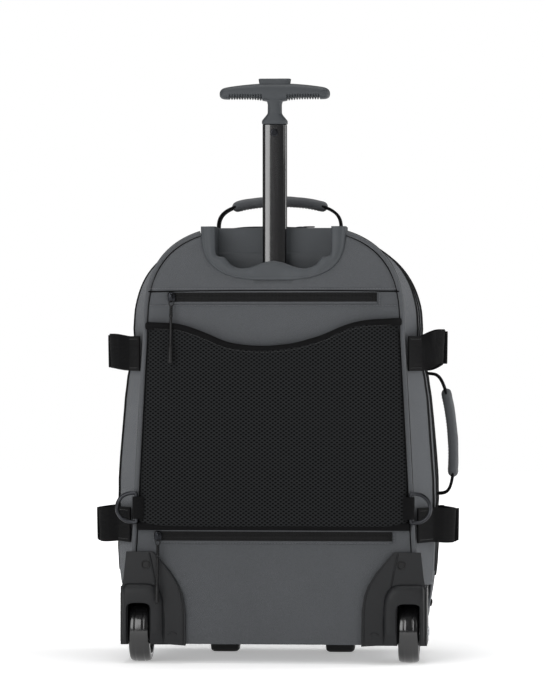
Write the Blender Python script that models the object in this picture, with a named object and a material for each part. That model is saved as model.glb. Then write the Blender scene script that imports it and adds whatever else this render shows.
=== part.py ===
"""A wheeled laptop case: the trolley side faces -Y, the wheels are at the lower rear corners, +Z is up.

Every function below makes one sub-part, in metres, measured from the rear face of the back panel (y = 0),
the middle plane of the case (x = 0) and the floor (z = 0). The empty named case carries everything, and
centre_on_floor moves it so that the floor under the middle of the whole case becomes the origin.
"""

import math

import bmesh
import bpy
from mathutils import Matrix, Vector

GAP = 0.0003  # between pieces that touch
CASE_WALL = 0.003  # padded fabric of the bag

# Bag
BASE_Z = 0.022
SHOULDER_Z = 0.372
TOP_Z = 0.499
WIDEST_Z = 0.150
WIDEST_HALF = 0.185
SHOULDER_HALF = 0.166
BASE_HALF = 0.169
BACK_LOW_HALF = 0.1635
BACK_SHOULDER_HALF = 0.147
BAG_DEPTH = 0.200
FLARE_DEPTH = 0.060
FRONT_ROUND = 0.026
BOTTOM_CORNER = 0.030
BACK_PANEL_THICK = 0.005

# Front door of the main compartment
DOOR_REAR_Y = 0.140
DOOR_LOW_Z = 0.060

# Inside
SHEET_Y = 0.0363
SHEET_THICK = 0.002
SHEET_HALF = 0.138
SHEET_UNDER_TRAY = 0.0066
SLEEVE_DEPTH = 0.031
SLEEVE_WALL = 0.004
SLEEVE_HALF = 0.143
SLEEVE_TOP_Z = 0.400
BASE_BOARD_THICK = 0.003
SOCKET_HEIGHT = 0.020
SOCKET_WALL = 0.003
SHOULDER_STRAP_WIDTH = 0.060
SHOULDER_STRAP_THICK = 0.014
SHOULDER_STRAP_X = 0.080

# Wheels
WHEEL_RADIUS = 0.036
WHEEL_WIDTH = 0.024
WHEEL_X = 0.154
WHEEL_Y = WHEEL_RADIUS - 0.009
TYRE_THICK = 0.010
HUB_RADIUS = WHEEL_RADIUS - TYRE_THICK
BEARING_OUTER = 0.011
BEARING_BORE = 0.004
BEARING_WIDTH = 0.007
WELL_RADIUS = WHEEL_RADIUS + 0.0035

# Wheel housings
HOUSING_INNER_X = 0.1003
HOUSING_NECK_X = 0.1115  # narrower where it passes the back panel, so that the plate covers its hole
HOUSING_OUTER_X = 0.175
HOUSING_LOW_Z = 0.0205
HOUSING_BOX_Z = WHEEL_RADIUS + WELL_RADIUS + 0.0125
HOUSING_TOP_Z = HOUSING_BOX_Z + 0.0397
HOUSING_REAR_Y = -0.006
HOUSING_PLATE_FRONT_Y = -0.0015
HOUSING_FRONT_Y = WHEEL_Y + WELL_RADIUS + 0.0035
HOUSING_FLANK = (
    (0.1715, 0.0297),
    (0.1683, 0.0),
    (0.1380, 0.0),
    (0.1334, 0.0047),
    (0.1174, 0.0228),
    (0.1083, 0.0377),
    (0.1037, 0.0490),
    (0.1009, 0.0661),
)  # (x, distance below the top) down the plate's outer edge, over its top and down its inner edge

# Front foot
FOOT_HALF = 0.0865
FOOT_PAD = 0.036
FOOT_TAPER = 0.004
FOOT_PLATE = 0.003
FOOT_REAR_Y = 0.150
FOOT_FRONT_Y = 0.178

# Trolley tubes
TUBE_WALL = 0.0012
TUBE_Y = 0.022
UPPER_WIDTH = 0.028
UPPER_DEPTH = 0.018
TUBE_STEP = 0.0032  # growth of width and depth from one tube to the next
TUBE_CORNER = 0.005
UPPER_TRAVEL_DOWN = 0.171
UPPER_TRAVEL_UP = 0.100
LOCK_LENGTH = 0.028
FOOT_LENGTH = 0.028
FOOT_SPIGOT = 0.010
SPIGOT_LENGTH = 0.022
PIN_RADIUS = 0.003
ROD_RADIUS = 0.0025

# Handle tray
TRAY_HALF = 0.083
TRAY_REAR_Y = -0.006
TRAY_FRONT_Y = 0.0385
TRAY_WALL = 0.003
TRAY_LOW_Z = TOP_Z - 0.0614
TRAY_FLOOR_Z = TRAY_LOW_Z + 0.0054
RECESS_HALF = 0.066
TRAY_LIP = 0.004
LIP_MIDDLE_Z = TRAY_FLOOR_Z + 0.0155
LIP_WAVE = 0.004
OUTER_TOP_Z = TRAY_LOW_Z - 0.0019

# T-handle
COLLAR_Z = TRAY_FLOOR_Z + 0.0027 + UPPER_TRAVEL_DOWN
GRIP_DEPTH = 0.024
GRIP_HALF = 0.0635
GRIP_END_RADIUS = 0.006
GRIP_CROWN = 0.047
NECK_HALF = 0.0083
SCREW_HEAD = 0.0045
COLLAR_HALF = 0.0146
BUTTON_HALF = 0.0186
BUTTON_DEPTH = 0.014
BUTTON_PROUD = 0.0053
BUTTON_BODY = 0.0065
BUTTON_TRAVEL = 0.004
SPRING_HEIGHT = 0.0075

# Back panel fittings
MESH_PROUD = 0.012
MESH_EDGE = 0.005
MESH_LOW_Z = 0.153
MESH_TOP_Z = 0.388
MESH_DIP_Z = 0.3595
MESH_SIDE_MARGIN = 0.0052
ZIP_THICK = 0.0012
UPPER_ZIP = (0.118, 0.4184, 0.0115)  # half length, middle height, tape width
LOWER_ZIP = (0.1355, 0.1456, 0.0116)
PULL_LENGTH = 0.066
PULL_TILT = math.radians(9)
PULL_X = (0.1164, 0.1317)

# Straps, rings and handles
STRAP_WIDTH = 0.040
STRAP_THICK = 0.002
UPPER_STRAP = (0.354, 0.194)  # middle height, how far its loose loop stands out
LOWER_STRAP = (0.158, 0.2068)
BUCKLE_REAR_Y = 0.084
BUCKLE_LENGTH = 0.024
BUCKLE_THICK = 0.009
PLUG_BODY = 0.014
RING_Z = 0.178
RING_BAR_X = 0.157
RING_HALF = 0.0168
RING_REACH = 0.022
RING_WIRE = 0.002
TAB_HALF = 0.013
TAB_WRAP = RING_WIRE + 0.0017
TOP_HANDLE_Y = 0.108
TOP_HANDLE_HALF = 0.072
TOP_HANDLE_RISE = 0.042
SIDE_HANDLE_Y = 0.090
SIDE_HANDLE_Z = (0.197, 0.327)
SIDE_HANDLE_RISE = 0.023

SIDE_STEPS = 6
ARCH_STEPS = 8
SIDES = (("left", -1), ("right", 1))

# name: sRGB colour 0-255, roughness, metallic
FINISHES = {
    "grey_fabric": ((84, 86, 90), 0.85, 0.0),
    "side_fabric": ((100, 104, 107), 0.85, 0.0),
    "black_fabric": ((30, 30, 32), 0.9, 0.0),
    "black_webbing": ((24, 24, 26), 0.8, 0.0),
    "spacer_mesh": ((36, 37, 39), 0.95, 0.0),
    "board": ((48, 48, 50), 0.7, 0.0),
    "dark_plastic": ((50, 52, 54), 0.45, 0.0),
    "tray_plastic": ((58, 62, 64), 0.5, 0.0),
    "grip_plastic": ((75, 78, 80), 0.5, 0.0),
    "black_metal": ((18, 18, 20), 0.2, 0.8),
    "gunmetal": ((120, 122, 125), 0.3, 1.0),
    "steel": ((190, 190, 192), 0.25, 1.0),
    "wheel_rubber": ((26, 26, 28), 0.3, 0.0),
    "hub_plastic": ((40, 41, 43), 0.4, 0.0),
}

pivots = {}


# ---------------------------------------------------------------- scene and materials


def clear_scene():
    for thing in list(bpy.data.objects):
        bpy.data.objects.remove(thing, do_unlink=True)


def linear(channel):
    """An sRGB channel, 0 to 255, as the linear value that Blender takes."""
    share = channel / 255
    return share / 12.92 if share <= 0.04045 else ((share + 0.055) / 1.055) ** 2.4


def finish(name):
    """The Principled BSDF material for one of FINISHES, made on its first use."""
    found = bpy.data.materials.get(name)
    if found:
        return found
    colour, roughness, metallic = FINISHES[name]
    made = bpy.data.materials.new(name)
    made.use_nodes = True
    shader = made.node_tree.nodes["Principled BSDF"]
    shader.inputs["Base Color"].default_value = [linear(c) for c in colour] + [1.0]
    shader.inputs["Roughness"].default_value = roughness
    shader.inputs["Metallic"].default_value = metallic
    return made


def pivot_empty(name, at, parent=None):
    """An empty on a joint's axis, which the moving pieces hang from."""
    empty = bpy.data.objects.new(name, None)
    bpy.context.collection.objects.link(empty)
    seat(empty, at, parent)
    return empty


def seat(thing, at, parent):
    """Put a thing's origin at a point of the case, under its parent."""
    base = pivots[parent.name] if parent else Vector()
    thing.parent = parent
    thing.location = Vector(at) - base
    pivots[thing.name] = Vector(at)


def piece(name, shape, look, parent, at=None):
    """Turn a bmesh in case coordinates into a named object whose origin is at a point of the case."""
    origin = Vector(at) if at else pivots[parent.name].copy()
    bmesh.ops.recalc_face_normals(shape, faces=shape.faces)
    bmesh.ops.translate(shape, verts=shape.verts, vec=-origin)
    mesh = bpy.data.meshes.new(name)
    shape.to_mesh(mesh)
    shape.free()
    mesh.shade_smooth()
    mesh.set_sharp_from_angle(angle=math.radians(35))
    mesh.materials.append(finish(look))
    made = bpy.data.objects.new(name, mesh)
    bpy.context.collection.objects.link(made)
    seat(made, origin, parent)
    return made


def tool(name, shape):
    """A hidden body for a Boolean, in case coordinates."""
    made = piece(name, shape, "steel", bpy.data.objects["case"])
    made.hide_render = True
    made.display_type = "WIRE"
    return made


def boolean(target, other, operation="DIFFERENCE"):
    step = target.modifiers.new(other.name, "BOOLEAN")
    step.operation = operation
    step.object = other


# ---------------------------------------------------------------- shapes


def skin(rings, closed=False):
    """Join rings of points into a surface, with a cap at each end unless the last ring meets the first."""
    shape = bmesh.new()
    rows = [[shape.verts.new(point) for point in ring] for ring in rings]
    pairs = list(zip(rows, rows[1:]))
    if closed:
        pairs.append((rows[-1], rows[0]))
    for near, far in pairs:
        for i in range(len(near)):
            j = (i + 1) % len(near)
            shape.faces.new((near[i], near[j], far[j], far[i]))
    if not closed:
        shape.faces.new(list(reversed(rows[0])))
        shape.faces.new(rows[-1])
    return shape


def prism(points, axis, start, end):
    """A flat outline carried along an axis. Its two numbers are the other two axes in X, Y, Z order."""
    place = {
        "X": lambda p, s: (s, p[0], p[1]),
        "Y": lambda p, s: (p[0], s, p[1]),
        "Z": lambda p, s: (p[0], p[1], s),
    }[axis]
    return skin([[place(p, s) for p in points] for s in (start, end)])


def block(x, y, z):
    """A box from three (low, high) pairs."""
    return prism([(x[0], y[0]), (x[1], y[0]), (x[1], y[1]), (x[0], y[1])], "Z", *z)


def rounded(half_a, half_b, radius, centre=(0, 0), steps=3):
    """Outline of a rectangle with round corners."""
    points = []
    for quarter, (a, b) in enumerate(((1, 1), (-1, 1), (-1, -1), (1, -1))):
        for step in range(steps + 1):
            angle = math.pi / 2 * (quarter + step / steps)
            across = a * (half_a - radius) + radius * math.cos(angle)
            along = b * (half_b - radius) + radius * math.sin(angle)
            points.append((centre[0] + across, centre[1] + along))
    return points


def turned(profile, centre, axis, segments, solid=False):
    """A profile of (radius, distance) points turned about an axis. A solid one starts and ends on the axis."""
    direction = Vector({"X": (1, 0, 0), "Y": (0, 1, 0), "Z": (0, 0, 1)}[axis])
    first = Vector((0, 0, -1)) if axis != "Z" else Vector((-1, 0, 0))
    second = direction.cross(first)
    rings = []
    for radius, distance in profile:
        middle = Vector(centre) + direction * distance
        ring = []
        for i in range(segments):
            angle = 2 * math.pi * i / segments
            ring.append(middle + radius * (first * math.cos(angle) + second * math.sin(angle)))
        rings.append(ring)
    return skin(rings, closed=not solid)


def rod(radius, centre, axis, start, end, segments=12):
    """A plain round bar, or the tool that drills its hole."""
    return turned([(radius, start), (radius, end)], centre, axis, segments, solid=True)


def swept(path, across, section, closed=False):
    """A section carried along a flat path. across is the path plane's normal, and section(share)
    gives (along across, along the path's outer side) points for a share of the way along."""
    across = Vector(across)
    points = [Vector(p) for p in path]
    count = len(points)
    rings = []
    for i, point in enumerate(points):
        before = points[(i - 1) % count] if closed or i else point
        after = points[(i + 1) % count] if closed or i < count - 1 else point
        outward = (after - before).normalized().cross(across)
        share = i / (count - 1)
        rings.append([point + across * a + outward * b for a, b in section(share)])
    return skin(rings, closed=closed)


def slab_section(width, thickness):
    """Section of a flat strap with its four corners cut."""
    cut = thickness * 0.3
    a, b = width / 2, thickness / 2
    return [
        (a, b - cut), (a - cut, b), (cut - a, b), (-a, b - cut),
        (-a, cut - b), (cut - a, -b), (a - cut, -b), (a, cut - b),
    ]  # fmt: skip


def merged(*shapes):
    """Several closed shapes in one bmesh, for a tool that cuts in more than one place."""
    whole = bmesh.new()
    for shape in shapes:
        bmesh.ops.recalc_face_normals(shape, faces=shape.faces)
        mesh = bpy.data.meshes.new("part_of_tool")
        shape.to_mesh(mesh)
        shape.free()
        whole.from_mesh(mesh)
        bpy.data.meshes.remove(mesh)
    return whole


def mirrored(points):
    """Points right of the middle, followed by their mirror images in reverse order."""
    return list(points) + [(-x, z) for x, z in reversed(points) if x > 1e-9]


# ---------------------------------------------------------------- the bag's form


def side_half(z):
    """Half the width of the bag where it is widest in depth: a barrel, fullest at WIDEST_Z."""
    if z < WIDEST_Z:
        share = (WIDEST_Z - z) / (WIDEST_Z - BASE_Z)
        return WIDEST_HALF - (WIDEST_HALF - BASE_HALF) * share**1.5
    share = (z - WIDEST_Z) / (SHOULDER_Z - WIDEST_Z)
    return WIDEST_HALF - (WIDEST_HALF - SHOULDER_HALF) * share**1.8


def back_half(z):
    """Half the width of the back panel's piped edge, which narrows evenly towards the shoulders."""
    share = (z - DOOR_LOW_Z) / (SHOULDER_Z - DOOR_LOW_Z)
    return BACK_LOW_HALF + (BACK_SHOULDER_HALF - BACK_LOW_HALF) * share


def arch_z(x, half, power, top=TOP_Z):
    """Height of the bag's top over a place x, on a superellipse above the shoulders."""
    return SHOULDER_Z + (top - SHOULDER_Z) * (1 - (abs(x) / half) ** power) ** (1 / power)


def top_z(x):
    return arch_z(x, side_half(SHOULDER_Z), 2.5)


def outline(side, power, inset):
    """Closed (x, z) outline: round lower corners, sides from side(z), a superellipse over the top."""
    corner_z = BASE_Z + BOTTOM_CORNER
    corner_x = side(corner_z) - BOTTOM_CORNER
    right = []
    for step in range(3):
        angle = math.radians(-90 + 30 * step)
        radius = BOTTOM_CORNER - inset
        right.append((corner_x + radius * math.cos(angle), corner_z + radius * math.sin(angle)))
    for step in range(SIDE_STEPS):
        z = corner_z + (SHOULDER_Z - corner_z) * step / SIDE_STEPS
        right.append((side(z) - inset, z))
    half = side(SHOULDER_Z) - inset
    for step in range(ARCH_STEPS):
        angle = math.pi / 2 * step / ARCH_STEPS
        x = half * math.cos(angle) ** (2 / power)
        z = SHOULDER_Z + (TOP_Z - inset - SHOULDER_Z) * math.sin(angle) ** (2 / power)
        right.append((x, z))
    return mirrored(right + [(0.0, TOP_Z - inset)])


def bag_ring(y, inset):
    """The bag's outline at a depth: the piped back edge flares out to the full barrel."""
    share = math.sin(math.pi / 2 * min(y / FLARE_DEPTH, 1))
    narrow = outline(back_half, 3, inset)
    wide = outline(side_half, 2.5, inset)
    blend = [(a[0] + (b[0] - a[0]) * share, a[1] + (b[1] - a[1]) * share) for a, b in zip(narrow, wide)]
    return [(x, y, z) for x, z in blend]


def flare_half(y, z):
    """Half the bag's width at a depth and a height."""
    share = math.sin(math.pi / 2 * min(max(y, 0) / FLARE_DEPTH, 1))
    return back_half(z) + (side_half(z) - back_half(z)) * share


def form_rings(inset):
    """Rings from the open rear to the front face, whose edge is a quarter round."""
    rings = [bag_ring(FLARE_DEPTH * step / 3, inset) for step in range(4)]
    start = BAG_DEPTH - FRONT_ROUND
    radius = FRONT_ROUND - inset
    for step in range(4):
        angle = math.radians(30 * step)
        y = start + radius * math.sin(angle)
        rings.append(bag_ring(y, inset + radius * (1 - math.cos(angle))))
    return rings


def bag_form():
    """The whole bag as one thin wall, open at the rear."""
    outer = form_rings(0.0)
    inner = form_rings(CASE_WALL)
    shape = bmesh.new()
    rows = [[shape.verts.new(p) for p in ring] for ring in outer + inner[::-1]]
    front = len(outer)
    for i, (near, far) in enumerate(zip(rows, rows[1:] + rows[:1])):
        if i == front - 1:
            continue
        for a in range(len(near)):
            b = (a + 1) % len(near)
            shape.faces.new((near[a], near[b], far[b], far[a]))
    shape.faces.new(rows[front - 1])
    shape.faces.new(rows[front])
    return shape


def add_spaces():
    """Tools that more than one piece is cut with: the wheel wells' notches and the tray's seat."""
    for name, side in SIDES:
        low, high = sorted((side * (HOUSING_INNER_X - GAP), side * (WIDEST_HALF + 0.02)))
        top = HOUSING_BOX_Z + GAP
        tool(f"{name}_well_space", block((low, high), (-0.01, HOUSING_FRONT_Y + GAP), (0, top)))
        low, high = sorted((side * (HOUSING_NECK_X - GAP), side * (WIDEST_HALF + 0.02)))
        tool(f"{name}_neck_space", block((low, high), (-0.01, BACK_PANEL_THICK + 0.01), (0, top)))
    tool("tray_space", prism(tray_outline(GAP), "Y", -0.01, TRAY_FRONT_Y + GAP))


def cut_spaces(target, space):
    """Cut the wheels' wells or their narrower necks, and the tray's seat, out of a piece."""
    for name, _ in SIDES:
        boolean(target, bpy.data.objects[f"{name}_{space}_space"])
    boolean(target, bpy.data.objects["tray_space"])


def add_bag(case):
    """The rear shell with the base, and the front door that the long zip lets down."""
    reach = WIDEST_HALF + 0.05
    front = BAG_DEPTH + 0.02
    above = TOP_Z + 0.02
    tool("door_space", block((-reach, reach), (DOOR_REAR_Y, front), (DOOR_LOW_Z, above)))
    tool("door_body", block((-reach, reach), (DOOR_REAR_Y + GAP, front), (DOOR_LOW_Z + GAP, above)))
    shell = piece("main_shell", bag_form(), "side_fabric", case)
    boolean(shell, bpy.data.objects["door_space"])
    cut_spaces(shell, "well")
    door = piece("front_door", bag_form(), "side_fabric", case, at=(0, BAG_DEPTH, DOOR_LOW_Z))
    boolean(door, bpy.data.objects["door_body"], "INTERSECT")


def add_back_panel(case):
    shape = prism(outline(back_half, 3, CASE_WALL + GAP), "Y", 0.0, BACK_PANEL_THICK)
    cut_spaces(piece("back_panel", shape, "grey_fabric", case), "neck")


# ---------------------------------------------------------------- inside


def add_frame_sheet(case):
    """The stiff sheet that the trolley is fastened to, notched over the wheel wells."""
    low = BASE_Z + CASE_WALL + BASE_BOARD_THICK + 2 * GAP
    well = HOUSING_BOX_Z + 3 * GAP
    foot = HOUSING_INNER_X - 2 * GAP
    right = [(foot, low), (foot, well), (SHEET_HALF, well), (SHEET_HALF, SHOULDER_Z), (0.1, TRAY_LOW_Z - SHEET_UNDER_TRAY)]
    shape = prism(mirrored(right), "Y", SHEET_Y, SHEET_Y + SHEET_THICK)
    piece("frame_sheet", shape, "board", case)


def add_laptop_sleeve(case):
    """A padded pocket, open at the top, against the frame sheet and above the wheel wells."""
    rear = SHEET_Y + SHEET_THICK + GAP
    front = rear + SLEEVE_DEPTH
    low = HOUSING_BOX_Z + 4 * GAP
    shape = block((-SLEEVE_HALF, SLEEVE_HALF), (rear, front), (low, SLEEVE_TOP_Z))
    sleeve = piece("laptop_sleeve", shape, "black_fabric", case)
    inner = SLEEVE_HALF - SLEEVE_WALL
    hollow = block((-inner, inner), (rear - 0.01, front - SLEEVE_WALL), (low + SLEEVE_WALL, SLEEVE_TOP_Z + 0.01))
    boolean(sleeve, tool("sleeve_hollow", hollow))


def add_base_board(case):
    """The moulded base board, with a socket for the foot of the outer tube."""
    low = BASE_Z + CASE_WALL + GAP
    top = low + BASE_BOARD_THICK
    half = HOUSING_INNER_X - 2 * GAP
    rear = BACK_PANEL_THICK + GAP
    board = piece("base_board", block((-half, half), (rear, BAG_DEPTH - FRONT_ROUND), (low, top)), "board", case)
    width, depth = tube_size(2)
    across = width / 2 + GAP + SOCKET_WALL
    foot = TUBE_Y + depth / 2 + GAP
    wall = block((-across, across), (rear, foot + GAP), (low, top + SOCKET_HEIGHT))
    boolean(board, tool("socket_body", wall), "UNION")
    seat_outline = rounded(width / 2 + GAP, depth / 2 + GAP, TUBE_CORNER, (0, TUBE_Y))
    boolean(board, tool("socket_hollow", prism(seat_outline, "Z", top, top + SOCKET_HEIGHT + 0.01)))


def add_shoulder_straps(case):
    """The two padded straps, stowed flat beside the trolley behind the zipped back panel."""
    rear = BACK_PANEL_THICK + 0.004
    for name, side in SIDES:
        path = rounded(
            SHOULDER_STRAP_WIDTH / 2, (SLEEVE_TOP_Z - 0.10) / 2, 0.02,
            (side * SHOULDER_STRAP_X, (SLEEVE_TOP_Z + 0.10) / 2), steps=2,
        )  # fmt: skip
        shape = prism(path, "Y", rear, rear + SHOULDER_STRAP_THICK)
        piece(f"shoulder_strap_{name}", shape, "black_fabric", case)


# ---------------------------------------------------------------- wheels


def add_housing(case, name, side):
    """A moulded guard over the lower rear corner, with the well that the wheel turns in."""
    plate = [
        (HOUSING_INNER_X, HOUSING_LOW_Z),
        (HOUSING_OUTER_X, HOUSING_LOW_Z + 0.005),
        (HOUSING_OUTER_X, HOUSING_TOP_Z - 0.0477),
    ]
    plate += [(x, HOUSING_TOP_Z - down) for x, down in HOUSING_FLANK]
    outside = prism([(side * x, z) for x, z in plate], "Y", HOUSING_REAR_Y, HOUSING_PLATE_FRONT_Y)
    guard = piece(f"wheel_housing_{name}", outside, "dark_plastic", case)
    rear = HOUSING_REAR_Y + 0.002
    behind = BACK_PANEL_THICK + GAP
    height = (HOUSING_LOW_Z + 0.001, HOUSING_BOX_Z)
    for place, inner, depth in (
        ("neck", HOUSING_NECK_X, (rear, behind + 0.002)),
        ("well", HOUSING_INNER_X, (behind, HOUSING_FRONT_Y)),
    ):
        across = sorted((side * inner, side * HOUSING_OUTER_X))
        boolean(guard, tool(f"{name}_{place}_body", block(across, depth, height)), "UNION")
    low, high = (side * WHEEL_X - slot_half(), side * WHEEL_X + slot_half())
    boolean(guard, tool(f"{name}_wheel_slot", prism(slot_profile(), "X", low, high)))
    bore = rod(BEARING_BORE, (0, WHEEL_Y, WHEEL_RADIUS), "X", *sorted((side * 0.09, side * 0.19)))
    boolean(guard, tool(f"{name}_axle_bore", bore))


def slot_half():
    return WHEEL_WIDTH / 2 + 0.0007


def slot_profile():
    """(y, z) outline of the wheel's slot: round over the wheel, open at the rear and below."""
    points = []
    for step in range(13):
        angle = math.radians(-20 + 140 * step / 12)
        points.append((WHEEL_Y + WELL_RADIUS * math.cos(angle), WHEEL_RADIUS + WELL_RADIUS * math.sin(angle)))
    points.append((HOUSING_REAR_Y - 0.01, points[-1][1]))
    points.append((HOUSING_REAR_Y - 0.01, -0.01))
    points.append((points[0][0], -0.01))
    return points


def add_wheel(case, name, side):
    """Tyre, hub and two bearings on one axle."""
    centre = (side * WHEEL_X, WHEEL_Y, WHEEL_RADIUS)
    wheel = pivot_empty(f"wheel_{name}", centre, case)
    half = WHEEL_WIDTH / 2
    edge = 0.005
    tread = []
    for step in range(4):
        angle = math.radians(30 * step)
        tread.append((WHEEL_RADIUS - edge + edge * math.cos(angle), half - edge + edge * math.sin(angle)))
    tread = [(r, -d) for r, d in reversed(tread)] + tread
    inner = HUB_RADIUS + GAP
    piece(f"tyre_{name}", turned([(inner, -half)] + tread + [(inner, half)], centre, "X", 32), "wheel_rubber", wheel)
    seat_radius = BEARING_OUTER + GAP
    seat_end = half - 0.001
    seat_floor = seat_end - BEARING_WIDTH - GAP
    clear = BEARING_OUTER - 0.003
    hub = [
        (HUB_RADIUS, -seat_end), (HUB_RADIUS, seat_end), (seat_radius, seat_end), (seat_radius, seat_floor),
        (clear, seat_floor), (clear, -seat_floor), (seat_radius, -seat_floor), (seat_radius, -seat_end),
    ]  # fmt: skip
    piece(f"hub_{name}", turned(hub, centre, "X", 28), "hub_plastic", wheel)
    for place, sign in (("inner", -side), ("outer", side)):
        ends = sorted((sign * (seat_floor + GAP), sign * seat_end))
        ring = [(BEARING_BORE, ends[0]), (BEARING_OUTER, ends[0]), (BEARING_OUTER, ends[1]), (BEARING_BORE, ends[1])]
        piece(f"bearing_{place}_{name}", turned(ring, centre, "X", 20), "steel", wheel)


def add_axle(case, name, side):
    """A headed pin through both walls of the housing."""
    radius = BEARING_BORE - GAP
    head = 0.0062
    start = HOUSING_INNER_X + 0.025
    end = HOUSING_OUTER_X + GAP
    profile = [(radius, side * start), (radius, side * end), (head, side * end), (head * 0.7, side * (end + 0.0018))]
    shape = turned(profile, (0, WHEEL_Y, WHEEL_RADIUS), "X", 12, solid=True)
    piece(f"axle_{name}", shape, "steel", case)


def add_front_foot(case):
    """The moulded foot that the case stands on in front: two pads on one plate under the base."""
    top = BASE_Z - GAP
    inner = FOOT_HALF - FOOT_PAD
    right = [
        (inner, top - FOOT_PLATE),
        (inner + FOOT_TAPER, 0.0),
        (FOOT_HALF - FOOT_TAPER, 0.0),
        (FOOT_HALF, top),
    ]
    piece("front_foot", prism(mirrored(right), "Y", FOOT_REAR_Y, FOOT_FRONT_Y), "dark_plastic", case)


# ---------------------------------------------------------------- trolley


def tube_size(stage):
    """Width and depth of the upper (0), middle (1) or outer (2) tube."""
    return UPPER_WIDTH + stage * TUBE_STEP, UPPER_DEPTH + stage * TUBE_STEP


def tube_ring(stage, inset=0.0):
    width, depth = tube_size(stage)
    radius = max(TUBE_CORNER + stage * TUBE_STEP / 2 - inset, 0.001)
    return rounded(width / 2 - inset, depth / 2 - inset, radius, (0, TUBE_Y))


def tube(stage, low, high):
    """A rounded rectangular tube, open at both ends."""
    outer, inner = tube_ring(stage), tube_ring(stage, TUBE_WALL)
    loops = [(outer, low), (outer, high), (inner, high), (inner, low)]
    return skin([[(x, y, z) for x, y in ring] for ring, z in loops], closed=True)


def outer_low_z():
    return BASE_Z + CASE_WALL + BASE_BOARD_THICK + 3 * GAP


def middle_low_z():
    return outer_low_z() + FOOT_LENGTH + 0.010


def add_outer_tube(case):
    piece("outer_tube", tube(2, outer_low_z(), OUTER_TOP_Z), "black_metal", case)


def add_guide_bush(case):
    """The plastic collar in the tray's floor that the middle tube slides through."""
    width, depth = tube_size(1)
    low = OUTER_TOP_Z + GAP
    high = TRAY_FLOOR_Z + 0.0015
    outer = rounded(width / 2 + 0.004, depth / 2 + 0.004, TUBE_CORNER, (0, TUBE_Y))
    inner = rounded(width / 2 + GAP, depth / 2 + GAP, TUBE_CORNER + GAP, (0, TUBE_Y))
    loops = [(outer, low), (outer, high), (inner, high), (inner, low)]
    shape = skin([[(x, y, z) for x, y in ring] for ring, z in loops], closed=True)
    piece("guide_bush", shape, "dark_plastic", case)


def add_middle_stage(middle):
    """The middle tube, with holes for the lock pin at both ends of the upper tube's travel and a notch
    for the grip's screw, and its foot plug."""
    low = middle_low_z()
    made = piece("middle_tube", tube(1, low, TRAY_FLOOR_Z + 0.002), "black_metal", middle)
    bores = []
    for shift in (-UPPER_TRAVEL_DOWN, UPPER_TRAVEL_UP):
        centre = (0, TUBE_Y, pin_z() + shift)
        bores.append(rod(PIN_RADIUS + GAP, centre, "X", 0.005, 0.03))
    boolean(made, tool("lock_holes", merged(*bores)))
    stowed = screw_z() - UPPER_TRAVEL_DOWN - SCREW_HEAD - 2 * GAP
    across = SCREW_HEAD + 2 * GAP
    notch = block((-across, across), (TUBE_Y - UPPER_DEPTH, TUBE_Y - UPPER_DEPTH / 2), (stowed, TRAY_FLOOR_Z + 0.01))
    boolean(made, tool("screw_notch", notch))
    foot = prism(tube_ring(1), "Z", low - FOOT_LENGTH, low - GAP)
    middle_foot = piece("middle_foot", foot, "dark_plastic", middle)
    spigot = prism(tube_ring(1, TUBE_WALL + GAP), "Z", low - 0.004, low + FOOT_SPIGOT)
    boolean(middle_foot, tool("middle_spigot", spigot), "UNION")


def upper_low_z():
    """Foot of the upper tube: stowed, its lock body stands just above the middle tube's foot plug."""
    return middle_low_z() + FOOT_SPIGOT + 2 * GAP + LOCK_LENGTH + UPPER_TRAVEL_DOWN


def pin_z():
    return upper_low_z() - LOCK_LENGTH / 2


def add_upper_tube(upper):
    made = piece("upper_tube", tube(0, upper_low_z(), COLLAR_Z - GAP), "black_metal", upper)
    hole = rod(0.0023, (0, 0, screw_z()), "Y", TUBE_Y - UPPER_DEPTH, TUBE_Y - 0.003)
    boolean(made, tool("screw_hole", hole))


def add_upper_lock(upper):
    """The lock body on the end of the upper tube, bored for the push rod and the pin."""
    low = upper_low_z()
    body = prism(tube_ring(0), "Z", low - LOCK_LENGTH, low - GAP)
    made = piece("upper_lock", body, "dark_plastic", upper)
    spigot = prism(tube_ring(0, TUBE_WALL + GAP), "Z", low - 0.004, low + 0.014)
    boolean(made, tool("lock_spigot", spigot), "UNION")
    centre = (0, TUBE_Y, pin_z())
    drill = rod(ROD_RADIUS + GAP, (0, TUBE_Y, 0), "Z", pin_z() + 0.001, low + 0.03)
    boolean(made, tool("rod_bore", drill))
    boolean(made, tool("pin_bore", rod(PIN_RADIUS + GAP, centre, "X", -0.0042, 0.03)))


def add_lock_pin(upper):
    """The pin that drops into the middle tube's holes. Between holes the tube's wall holds it in."""
    tip = tube_size(1)[0] / 2 - TUBE_WALL - GAP
    tail = tip - 0.012
    profile = [(PIN_RADIUS, tail), (PIN_RADIUS, tip - 0.001), (PIN_RADIUS - 0.001, tip)]
    centre = (0, TUBE_Y, pin_z())
    piece("lock_pin", turned(profile, centre, "X", 12, solid=True), "steel", upper, at=centre)


# ---------------------------------------------------------------- T-handle


def bar_z():
    """Height of the middle of the grip's round ends."""
    return COLLAR_Z + 0.0348


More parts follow.
